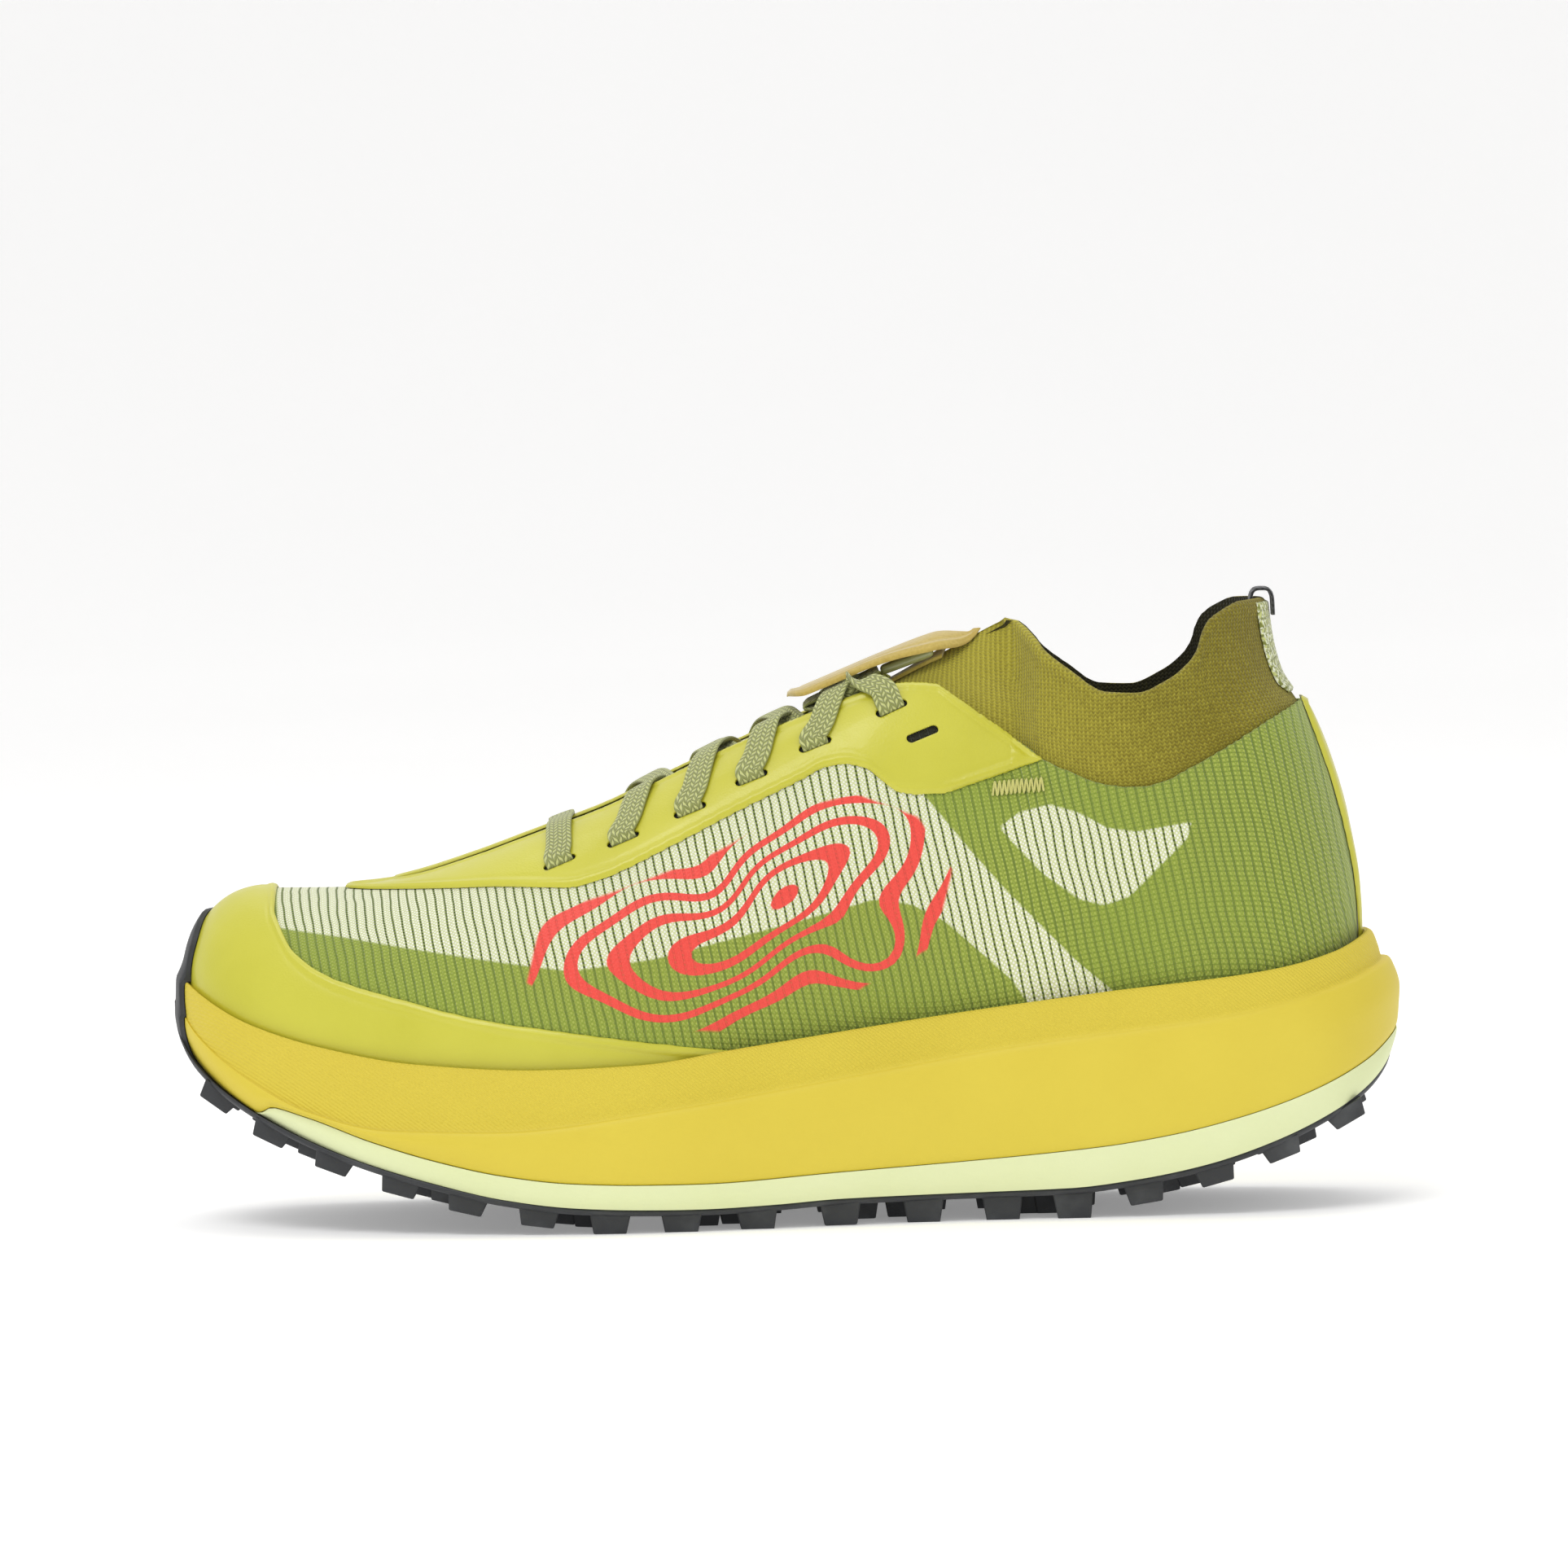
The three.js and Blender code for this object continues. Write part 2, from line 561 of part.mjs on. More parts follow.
function tonguePanel() {
  const inner = (x) => knitLayer[1](x) + PANEL_RISE;
  const outer = (x) => inner(x) + PANEL_THICK;
  const panel = layer([inner, outer]);
  const halfWidths = curve([[-93, 1], [-86, 5.5], [-50, 6.4], [0, 6.4], [24, 5], [40, 5]]);
  return panel.intersect(ridgeBand(-93, 40, halfWidths));
}

function heelCounter() {
  const outline = [...smoothLine([[84, 52], [86, 68], [104, 82], [122, 87.5], [150, 89]]), [150, 52]];
  return layer(LAYER.counter).intersect(sideBlock(outline)).subtract(foamClearance);
}

function toePuff() {
  const edge = smoothLine([[-116, 58], [-112, 66], [-113, 74], [-116, 84]]);
  const outline = [[-170, 58], ...edge, [-116, 90], [-170, 90]];
  return layer(LAYER.puff).intersect(sideBlock(outline));
}

const padOutline = (grow) => [
  ...smoothLine([
    [64 - grow, 101], [78, 92.5 - grow], [100, 86 - grow], [124, 84 - grow], [150, 84 - grow],
  ]),
  ...smoothLine([
    [150, 121 + grow], [124, 116 + grow], [108, 109 + grow], [92, 101.5 + grow], [80, 101.5 + grow],
    [68, 104 + grow],
  ]),
];
const collarFoam = () => layer(LAYER.foam).intersect(sideBlock(padOutline(0)));
const heelLining = () => layer(LAYER.lining).intersect(sideBlock(padOutline(1.5)));

const foamClearance = ringSolid([
  ...foamWall(),
  ...raised([...foamWall().slice(-1), ring(TOE_X + 1.9, HEEL_X - 8.2, RIM_INSET - 0.4, rimTop)], GAP),
]).subtract(
  ringSolid([
    ring(TOE_X + 2.9, HEEL_X - 9.4, RIM_INSET + 0.8, () => 10),
    ring(TOE_X + 2.9, HEEL_X - 9.4, RIM_INSET + 0.8, () => 90),
  ]),
);

// ---------------------------------------------------------------- outsole

// The sheet's slope at a station, as the angle of its normal from straight down.
const slopeAt = (x) => Math.atan2(soleBottom(x + 2) - soleBottom(x - 2), 4);

function lug(x, y, width, length, depth) {
  const block = new THREE.CylinderGeometry(Math.SQRT1_2, Math.SQRT1_2 * 0.78, 1, 4, 1);
  block.rotateY(Math.PI / 4).rotateX(Math.PI / 2);
  block.scale(length, width, depth + 1);
  block.translate(0, 0, -(depth + 1) / 2 + 0.9);
  block.rotateY(-slopeAt(x));
  block.translate(x, y, soleBottom(x) - RUBBER);
  return manifoldOf(block);
}

// Rows of lugs: station, and how deep they are there so that ball and heel both stand on the ground.
const LUG_ROWS = [-137, -124, -109, -93, -77, -60, -43, -26, -8, 12, 32, 51, 68, 85, 102, 118, 134];
const lugDepth = curve([
  [-140, 3.4], [-60, 3.8], [-40, 4.6], [-10, 4.8], [20, 5], [45, 5.9], [65, 6.4], [80, 5], [100, 3.8],
  [140, 3],
]);

function lugs() {
  const made = [];
  LUG_ROWS.forEach((x, row) => {
    const fraction = along(x);
    const half = (halfWidth(fraction) - 4) * 2 * Math.sqrt(fraction * (1 - fraction));
    const middle = centreLine(fraction);
    for (const side of [-1, 1]) {
      made.push(lug(x, middle + side * (half - 6), 10.5, 10, lugDepth(x)));
      if (half > 33) made.push(lug(x + (row % 2 ? 5 : -5), middle + side * (half - 20), 10, 9, lugDepth(x)));
    }
    if (half > 20) made.push(lug(x + (row % 2 ? -2 : 2), middle, 12, 9, lugDepth(x)));
  });
  return made;
}

function outsoleSheet() {
  return ringSolid([
    ring(TOE_X - 0.6, HEEL_X - 3.6, 4.6, (x) => soleBottom(x) - RUBBER),
    ring(TOE_X - 1.4, HEEL_X - 2.6, 3.4, (x) => soleBottom(x) - RUBBER * 0.6),
    ring(TOE_X - 1.3, HEEL_X - 2.4, 3.4, soleBottom),
  ]);
}

// The bumper that rises over the tip of the toe, on the foam and then on the toe guard.
function toeBumper() {
  const around = (swell) => ringSolid([...foamWall(swell)]).add(envelopeSolid(LAYER.film[1] + swell));
  const front = new THREE.Shape();
  front.moveTo(-9, 30).lineTo(48, 30).lineTo(41, 46).lineTo(33, 60).quadraticCurveTo(28, 76.5, 13, 76.5);
  front.quadraticCurveTo(1, 76.5, -1, 60).lineTo(-4, 46);
  const block = new THREE.ExtrudeGeometry(front, { depth: 28, bevelEnabled: false });
  block.rotateX(Math.PI / 2).rotateZ(Math.PI / 2).translate(-158, 0, 0);
  return around(GAP + 1.2).subtract(around(GAP)).intersect(manifoldOf(block));
}

function outsole() {
  const ground = manifoldOf(new THREE.BoxGeometry(400, 200, 40).translate(0, 0, -20));
  const body = lugs().reduce((all, one) => all.add(one), outsoleSheet());
  const whole = body.add(toeBumper()).subtract(ground);
  const clear = whole.subtract(ringSolid(foamWall(GAP + 0.02))).subtract(ringSolid(raised(foamRings, -GAP)));
  return clear.subtract(ringSolid(raised(foamRings, GAP))).subtract(ringSolid(raised(carrierRings, -GAP)));
}

// ---------------------------------------------------------------- laces

const UNDER = LAYER.backing[0] - GAP - LACE_THICK / 2 - 0.2;
const OVER = LAYER.film[1] + GAP + LACE_THICK / 2 + 0.1;
const [EDGE_OVER, EDGE_UNDER] = [2.1, -2.8]; // at the throat's edge
const STACK = 1.45; // centre to centre where one pass lies on the other

// The turn through a slot, from under the eyestay up and back over its edge, as [place, width direction].
function slotTurn(slot, side) {
  const { point, out, along, inward } = frameAt(slot, side);
  const at = (d, height) => [point.clone().addScaledVector(inward, d).addScaledVector(out, height), along];
  return [
    at(1.7, UNDER), at(0.6, UNDER + 0.2), at(-0.2, UNDER + 1.1),
    at(-0.2, OVER - 1.1), at(0.6, OVER - 0.2), at(1.7, OVER),
  ];
}

// Directions on the surface: heelwards, and down the rib.
function heelward(x, side, share) {
  return surfaceAt(x + 2, side, share).sub(surfaceAt(x - 2, side, share)).normalize();
}

function downRib(x, side, share) {
  return surfaceAt(x, side, share - 0.02).sub(surfaceAt(x, side, Math.min(1, share + 0.02))).normalize();
}

// The free run from one slot to another across the ridge, its height given at five places along the way.
function crossing(from, fromSide, to, toSide, heights) {
  const [a, b] = [frameAt(from, fromSide), frameAt(to, toSide)];
  const height = curve([0.1, 0.3, 0.5, 0.7, 0.9].map((t, i) => [t, heights[i]]));
  return [0.1, 0.2, 0.3, 0.4, 0.5, 0.6, 0.7, 0.8, 0.9].map((t) => {
    const climb = 1 - Math.abs(1 - 2 * t);
    const first = t < 0.5;
    const share = mix((first ? a : b).share, 1, climb);
    const x = mix(from[0], to[0], t);
    const side = first ? fromSide : toSide;
    return [surfaceAt(x, side, share, height(t)), heelward(x, side, share)];
  });
}

// From the last slot to the fold in front of the pocket, then back under the flap to the aglet.
function stowedEnd(side) {
  const on = (x, y, height, turn) => {
    const share = ridgeShare(x, y);
    const hint = heelward(x, side, share).multiplyScalar(turn);
    hint.addScaledVector(downRib(x, side, share), 1 - turn);
    return [surfaceAt(x, side, share, height), hint];
  };
  return [
    on(24.8, 14.6, 2.2, 0.85), on(20.5, 11.4, 2.1, 0.65), on(15, 8.2, 0.9, 0.45), on(10, 6.2, -0.9, 0.3),
    on(7, 5.2, -0.8, 0.15),
    on(6.2, 4.9, -0.2, 0.05), on(7, 4.8, 0.5, 0), on(10, 4.8, 0.6, 0), on(24, 4.6, 0.5, 0),
  ];
}

// The share of the rib at station x that lies a distance to the side of the ridge.
function ridgeShare(x, distance) {
  let [low, high] = [0.5, 1];
  for (let i = 0; i < 24; i++) {
    const middle = (low + high) / 2;
    if (surfaceAt(x, 1, middle).y - ridgeY(x) > distance) low = middle;
    else high = middle;
  }
  return low;
}

// The whole lace, from the lateral end to the medial end, as [place, width direction].
function laceRoute() {
  const half = (start, high) => {
    const steps = [...slotTurn(SLOTS[0], start).reverse()];
    const mid = high ? 0.4 : 0.4 - STACK;
    const base = high ? -0.9 : -0.9 - STACK;
    steps.push(...crossing(SLOTS[0], start, SLOTS[1], -start, [UNDER, EDGE_UNDER, base, EDGE_UNDER, UNDER]));
    let side = -start;
    for (let i = 1; i < 5; i++) {
      steps.push(...slotTurn(SLOTS[i], side));
      steps.push(...crossing(SLOTS[i], side, SLOTS[i + 1], -side, [OVER, EDGE_OVER, mid, EDGE_UNDER, UNDER]));
      side = -side;
    }
    steps.push(...slotTurn(SLOTS[5], side), ...stowedEnd(side));
    return steps;
  };
  const bar = crossing(SLOTS[0], -1, SLOTS[0], 1, [OVER, EDGE_OVER, 1.2, EDGE_OVER, OVER]);
  return [...half(-1, true).reverse(), ...bar, ...half(1, false)];
}

// A ribbon along a route.
function ribbon(route, width, thick) {
  const points = [];
  const triangles = [];
  route.forEach(([place, hint], i) => {
    const before = route[Math.max(0, i - 1)][0];
    const after = route[Math.min(route.length - 1, i + 1)][0];
    const forward = new THREE.Vector3().subVectors(after, before).normalize();
    const across = hint.clone().addScaledVector(forward, -hint.dot(forward)).normalize();
    const up = new THREE.Vector3().crossVectors(across, forward);
    for (const [u, v] of [[-1, -1], [1, -1], [1, 1], [-1, 1]]) {
      const corner = place.clone().addScaledVector(across, (u * width) / 2);
      points.push(corner.addScaledVector(up, (v * thick) / 2));
    }
  });
  const last = 4 * (route.length - 1);
  for (let i = 0; i < last; i += 4) {
    for (let k = 0; k < 4; k++) {
      const [a, b] = [i + k, i + ((k + 1) % 4)];
      triangles.push(a, b + 4, b, a, a + 4, b + 4);
    }
  }
  triangles.push(0, 1, 2, 0, 2, 3, last, last + 2, last + 1, last, last + 3, last + 2);
  return solidOf(points, triangles);
}

const lace = () => ribbon(laceRoute(), LACE_WIDTH, LACE_THICK);

function aglet(side) {
  const [from, to] = [24.4, 37].map((x) => surfaceAt(x, side, ridgeShare(x, 4.6), -0.2));
  const tube = new THREE.CylinderGeometry(1.1, 1.1, from.distanceTo(to), 10).rotateX(Math.PI / 2);
  tube.lookAt(new THREE.Vector3().subVectors(to, from));
  const middle = from.lerp(to, 0.5);
  return manifoldOf(tube.translate(...middle.toArray()));
}

// ---------------------------------------------------------------- small parts

const FLAP_ROOT_X = 49;

// The pocket flap: free at its toe end, lying over the stowed laces, and sewn down at its root.
function laceFlap() {
  const inner = curve([
    [3.5, 3.7], [16, 3.1], [30, 2.5], [38.5, 1.8], [FLAP_ROOT_X - 2, -1.1], [FLAP_ROOT_X, -1.1],
  ]);
  const plate = layer([inner, (x) => inner(x) + 0.9]);
  return plate.intersect(ridgeBand(3.5, FLAP_ROOT_X, curve([[3.5, 9.5], [8, 11], [FLAP_ROOT_X, 11]])));
}

// A loop of webbing over the heel's rim, its two legs sewn to the collar.
function pullTab() {
  const leg = (z, offset) => {
    const { point } = frameAt([UPPER_HEEL_X - 0.01, z, 0], -1);
    return [point.x + offset, z];
  };
  const [outer, inner] = [1.3, -4.9];
  const top = 149.4;
  const outline = [
    leg(137, outer), leg(143, outer), [leg(147, outer)[0], top - 0.8], [leg(147, outer - 0.9)[0], top],
    [leg(147, inner + 0.9)[0], top], [leg(147, inner)[0], top - 0.8], leg(143, inner), leg(137, inner),
    leg(137, inner + 0.9), leg(143, inner + 0.9), [leg(147, inner + 0.9)[0], top - 0.9],
    [leg(147, outer - 0.9)[0], top - 0.9], leg(143, outer - 0.9), leg(137, outer - 0.9),
  ];
  return sideBlock(outline, -4.5, 4.5);
}

// The dense stitch that anchors the rear end of an eyestay.
function bartack(side) {
  const outline = [[50.6, 101.9], [63.6, 103], [63.6, 105.1], [50.6, 104]];
  const [fromY, toY] = side < 0 ? [-90, 0] : [0, 90];
  return layer([GAP, GAP + 0.5]).intersect(sideBlock(outline, fromY, toY));
}

// ---------------------------------------------------------------- assembly

const finish = (color, roughness) => new THREE.MeshStandardMaterial({ color, roughness, metalness: 0 });
const yellowFoam = finish(0xdcc632, 0.7);
const paleFoam = finish(0xdfe5b0, 0.7);
const blackRubber = finish(0x2a2b2c, 0.8);
const meshFabric = finish(0xa3b94a, 0.9);
const filmYellow = finish(0xcdc53c, 0.45);
const knitOlive = finish(0x8f842a, 0.95);
const suedeTan = finish(0xb9aa4c, 0.9);
const laceGreen = finish(0x99a160, 0.85);
const agletClear = finish(0xa8ac86, 0.3);
const boardWhite = finish(0xd9d6c8, 0.9);
const insoleFoam = finish(0x55581f, 0.9);

const shoe = new THREE.Group();

function addPart(name, solid, material) {
  const mesh = new THREE.Mesh(geometryOf(mainBody(solid)), material);
  mesh.name = name;
  shoe.add(mesh);
  return mesh;
}

addPart("outsole", outsole(), blackRubber);
addPart("midsole_carrier", midsoleCarrier(), paleFoam);
addPart("midsole_foam", midsoleFoam(), yellowFoam);
addPart("strobel_board", strobelBoard(), boardWhite);
addPart("insole", insole(), insoleFoam);
addPart("upper_mesh", upperMesh(), meshFabric);
addPart("toe_guard", toeGuard(), filmYellow);
addPart("eyestay_lateral", eyestay(-1), filmYellow);
addPart("eyestay_medial", eyestay(1), filmYellow);
addPart("eyestay_backing_lateral", eyestayBacking(-1), boardWhite);
addPart("eyestay_backing_medial", eyestayBacking(1), boardWhite);
addPart("heel_strip", heelStrip(), filmYellow);
addPart("heel_webbing", heelWebbing(), paleFoam);
addPart("knit_bootie", knitBootie(), knitOlive);
addPart("tongue_panel", tonguePanel(), suedeTan);
addPart("lace_pocket_flap", laceFlap(), suedeTan);
addPart("lace", lace(), laceGreen);
addPart("aglet_lateral", aglet(-1), agletClear);
addPart("aglet_medial", aglet(1), agletClear);
addPart("pull_tab", pullTab(), blackRubber);
addPart("bartack_lateral", bartack(-1), filmYellow);
addPart("bartack_medial", bartack(1), filmYellow);
addPart("heel_counter", heelCounter(), boardWhite);
addPart("toe_puff", toePuff(), boardWhite);
addPart("collar_foam", collarFoam(), insoleFoam);
addPart("heel_lining", heelLining(), knitOlive);

export default shoe;
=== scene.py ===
"""The looks of a left trail running shoe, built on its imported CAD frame.

Lengths are worked out in millimetres in the shoe's own frame (toe -X, lateral side -Y, +Z up) and stored in
metres. The sole is made of stacks of foot-shaped rings. The upper is made of layers of one envelope, which
is a surface of ribs from the sole's rim to the ridge of the instep or the collar's rim."""

import math

import bmesh
import bpy
import numpy as np
from mathutils import Matrix, Vector
from mathutils.bvhtree import BVHTree


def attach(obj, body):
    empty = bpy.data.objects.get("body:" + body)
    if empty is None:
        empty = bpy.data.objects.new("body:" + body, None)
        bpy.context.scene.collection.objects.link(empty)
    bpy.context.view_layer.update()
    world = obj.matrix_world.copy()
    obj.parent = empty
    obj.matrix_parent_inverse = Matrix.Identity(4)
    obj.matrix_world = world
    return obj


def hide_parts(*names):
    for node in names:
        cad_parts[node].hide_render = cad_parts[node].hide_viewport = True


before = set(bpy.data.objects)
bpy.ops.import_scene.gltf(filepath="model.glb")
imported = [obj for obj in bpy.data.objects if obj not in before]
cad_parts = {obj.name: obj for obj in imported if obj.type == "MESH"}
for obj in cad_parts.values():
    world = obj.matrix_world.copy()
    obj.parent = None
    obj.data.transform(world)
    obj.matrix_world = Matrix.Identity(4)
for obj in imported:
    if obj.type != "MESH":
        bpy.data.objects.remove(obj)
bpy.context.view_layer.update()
MM = 0.001
ROLL = math.radians(1.3)  # the shoe stands a little nose up in the picture's frame
TILT = math.radians(3.2)  # the camera's height above the horizon
DISTANCE, FRAME_WIDTH, SENSOR = 2.6, 0.3785, 36

# ---------------------------------------------------------------- camera, light, floor


def make_camera():
    """A long lens at the lateral side, a little above the horizon, rolled by the shoe's pitch."""
    data = bpy.data.cameras.new("camera")
    cam = bpy.data.objects.new("camera", data)
    bpy.context.scene.collection.objects.link(cam)
    target = Vector((0.8, -18, 105)) * MM
    right = Vector((math.cos(ROLL), 0, -math.sin(ROLL)))
    away = Vector((0, math.cos(TILT), -math.sin(TILT)))
    away = (away - right * away.dot(right)).normalized()
    up = right.cross(away)
    basis = Matrix.Identity(3)
    basis.col[0], basis.col[1], basis.col[2] = right, up, -away
    cam.matrix_world = basis.to_4x4()
    cam.location = target - away * DISTANCE
    data.sensor_width = SENSOR
    data.lens = SENSOR * DISTANCE / FRAME_WIDTH
    data.clip_end = 20
    bpy.context.scene.camera = cam


def make_studio():
    scene = bpy.context.scene
    scene.view_settings.view_transform = "Standard"
    world = bpy.data.worlds.new("studio")
    scene.world = world
    world.use_nodes = True
    world.node_tree.nodes["Background"].inputs["Color"].default_value = (1, 1, 1, 1)
    world.node_tree.nodes["Background"].inputs["Strength"].default_value = 0.62

    def softbox(name, place, size, power, aim=(0, 0, 0.07)):
        light = bpy.data.lights.new(name, "AREA")
        light.shape = "RECTANGLE"
        light.size, light.size_y = size
        light.energy = power
        lamp = bpy.data.objects.new(name, light)
        lamp.location = place
        direction = Vector(aim) - Vector(place)
        lamp.rotation_euler = direction.to_track_quat("-Z", "Y").to_euler()
        scene.collection.objects.link(lamp)

    softbox("key", (-0.5, -1.0, 1.6), (1.0, 0.7), 12)
    softbox("fill", (0.9, -1.3, 0.5), (0.9, 0.9), 1.2)
    softbox("top", (0.0, 0.5, 1.6), (1.4, 0.8), 6)

    material, g = new_material("floor_paper", 0.9)
    g.color(g.blend(g.noise(3, 2), (0.93, 0.925, 0.92), (0.96, 0.955, 0.95)))
    g.put(g.bsdf.inputs["Emission Color"], (1, 1, 1))
    g.bsdf.inputs["Emission Strength"].default_value = 0.24
    # One sheet of paper: flat under the shoe and curved up well behind it.
    bend = 1200
    sweep = [
        (3000 + bend * math.sin(a), bend - bend * math.cos(a)) for a in np.linspace(0, math.pi / 2, 24)
    ]
    line = [(-4000, 0), *sweep, (3000 + bend, 6000)]
    points = [(x, y, z) for y, z in line for x in (-6000, 6000)]
    faces = [(2 * i, 2 * i + 1, 2 * i + 3, 2 * i + 2) for i in range(len(line) - 1)]
    make_object("floor", points, faces, None, material)


# ---------------------------------------------------------------- node materials


class Graph:
    """Short names for the shader nodes used here."""

    def __init__(self, material):
        self.tree = material.node_tree
        self.bsdf = self.tree.nodes["Principled BSDF"]
        self.height = None
        self.coords = self.tree.nodes.new("ShaderNodeTexCoord")

    def node(self, kind, **values):
        made = self.tree.nodes.new(kind)
        for key, value in values.items():
            setattr(made, key, value)
        return made

    def put(self, socket, value):
        if isinstance(value, (int, float)):
            socket.default_value = value
        elif isinstance(value, tuple):
            socket.default_value = (*value, 1)
        else:
            self.tree.links.new(value, socket)

    def math(self, operation, *values):
        made = self.node("ShaderNodeMath", operation=operation)
        for socket, value in zip(made.inputs, values):
            self.put(socket, value)
        return made.outputs[0]

    def add(self, *values):
        total = values[0]
        for value in values[1:]:
            total = self.math("ADD", total, value)
        return total

    def mul(self, *values):
        total = values[0]
        for value in values[1:]:
            total = self.math("MULTIPLY", total, value)
        return total

    def wave(self, value, period):
        """A cosine of the given period, from 0 to 1."""
        turn = self.mul(value, 2 * math.pi / period)
        return self.add(self.mul(self.math("COSINE", turn), 0.5), 0.5)

    def step(self, value, low, high):
        made = self.node("ShaderNodeMapRange", interpolation_type="SMOOTHSTEP")
        self.put(made.inputs["Value"], value)
        made.inputs["From Min"].default_value = low
        made.inputs["From Max"].default_value = high
        return made.outputs["Result"]

    def object_axes(self):
        """The surface point in millimetres."""
        split = self.node("ShaderNodeSeparateXYZ")
        self.put(split.inputs[0], self.coords.outputs["Object"])
        return [self.mul(split.outputs[i], 1000) for i in range(3)]

    def uv(self):
        split = self.node("ShaderNodeSeparateXYZ")
        self.put(split.inputs[0], self.coords.outputs["UV"])
        return split.outputs[0], split.outputs[1]

    def attribute(self, name):
        return self.node("ShaderNodeAttribute", attribute_name=name).outputs["Fac"]

    def noise(self, scale, detail=3, stretch=None, roughness=0.5):
        """Noise with the given number of features per metre."""
        made = self.node("ShaderNodeTexNoise")
        made.inputs["Scale"].default_value = scale
        made.inputs["Detail"].default_value = detail
        made.inputs["Roughness"].default_value = roughness
        source = self.coords.outputs["Object"]
        if stretch:
            mapping = self.node("ShaderNodeMapping")
            mapping.inputs["Scale"].default_value = stretch
            self.put(mapping.inputs[0], source)
            source = mapping.outputs[0]
        self.put(made.inputs["Vector"], source)
        return made.outputs["Fac"]

    def cells(self, scale):
        made = self.node("ShaderNodeTexVoronoi")
        made.inputs["Scale"].default_value = scale
        self.put(made.inputs["Vector"], self.coords.outputs["Object"])
        return made.outputs["Distance"]

    def blend(self, factor, a, b):
        made = self.node("ShaderNodeMix", data_type="RGBA")
        self.put(made.inputs[0], factor)
        self.put(made.inputs[6], a)
        self.put(made.inputs[7], b)
        return made.outputs[2]

    def color(self, value):
        self.put(self.bsdf.inputs["Base Color"], value)

    def roughness(self, value):
        self.put(self.bsdf.inputs["Roughness"], value)

    def bump(self, height, distance, strength=1.0):
        """Adds relief of the given depth in millimetres."""
        made = self.node("ShaderNodeBump")
        made.inputs["Strength"].default_value = strength
        made.inputs["Distance"].default_value = distance * MM
        self.put(made.inputs["Height"], height)
        if self.height is not None:
            self.put(made.inputs["Normal"], self.height)
        self.height = made.outputs[0]
        self.put(self.bsdf.inputs["Normal"], self.height)


def new_material(name, roughness, sheen=0.0, coat=0.0):
    material = bpy.data.materials.new(name)
    material.use_nodes = True
    graph = Graph(material)
    graph.bsdf.inputs["Roughness"].default_value = roughness
    graph.bsdf.inputs["Sheen Weight"].default_value = sheen
    graph.bsdf.inputs["Coat Weight"].default_value = coat
    return material, graph


def srgb(r, g, b):
    return tuple(((c / 255 + 0.055) / 1.055) ** 2.4 if c > 10 else c / 3295 for c in (r, g, b))


def foam_material(name, light, dark, textured):
    """Moulded EVA skin: faint cell relief and, above the ledge, fine diagonal lines."""
    material, g = new_material(name, 0.62)
    x, y, z = g.object_axes()
    tone = g.noise(38, 4)
    g.color(g.blend(tone, dark, light))
    g.bump(g.noise(1500, 3), 0.05)
    g.bump(g.noise(120, 3), 0.03)
    if textured:
        above = g.attribute("band")
        lines = g.wave(g.add(x, g.mul(z, 1.2), g.mul(y, 0.4)), 1.15)
        cross = g.wave(g.add(x, g.mul(z, -1.6), g.mul(y, -0.4)), 2.3)
        relief = g.mul(g.add(g.mul(lines, 0.8), g.mul(cross, 0.3)), above)
        g.bump(relief, 0.16)
        g.roughness(g.add(g.mul(above, 0.1), g.mul(tone, 0.12), 0.5))
    else:
        g.roughness(g.add(g.mul(tone, 0.15), 0.55))
    return material


def film_material(name, light, dark, roughness=0.36):
    """Welded polyurethane film: satin, a fine leathery relief and soft wrinkles."""
    material, g = new_material(name, roughness, coat=0.12)
    tone = g.noise(26, 3)
    g.color(g.blend(g.step(tone, 0.25, 0.75), dark, light))
    g.bump(g.cells(1900), 0.03)
    g.bump(g.noise(110, 3, stretch=(1, 1, 2.5)), 0.07)
    g.roughness(g.add(g.mul(g.noise(300, 3), 0.16), roughness - 0.06))
    return material


RIB_SPACING, ROW_SPACING = 2.2, 1.3  # of the mesh, in millimetres


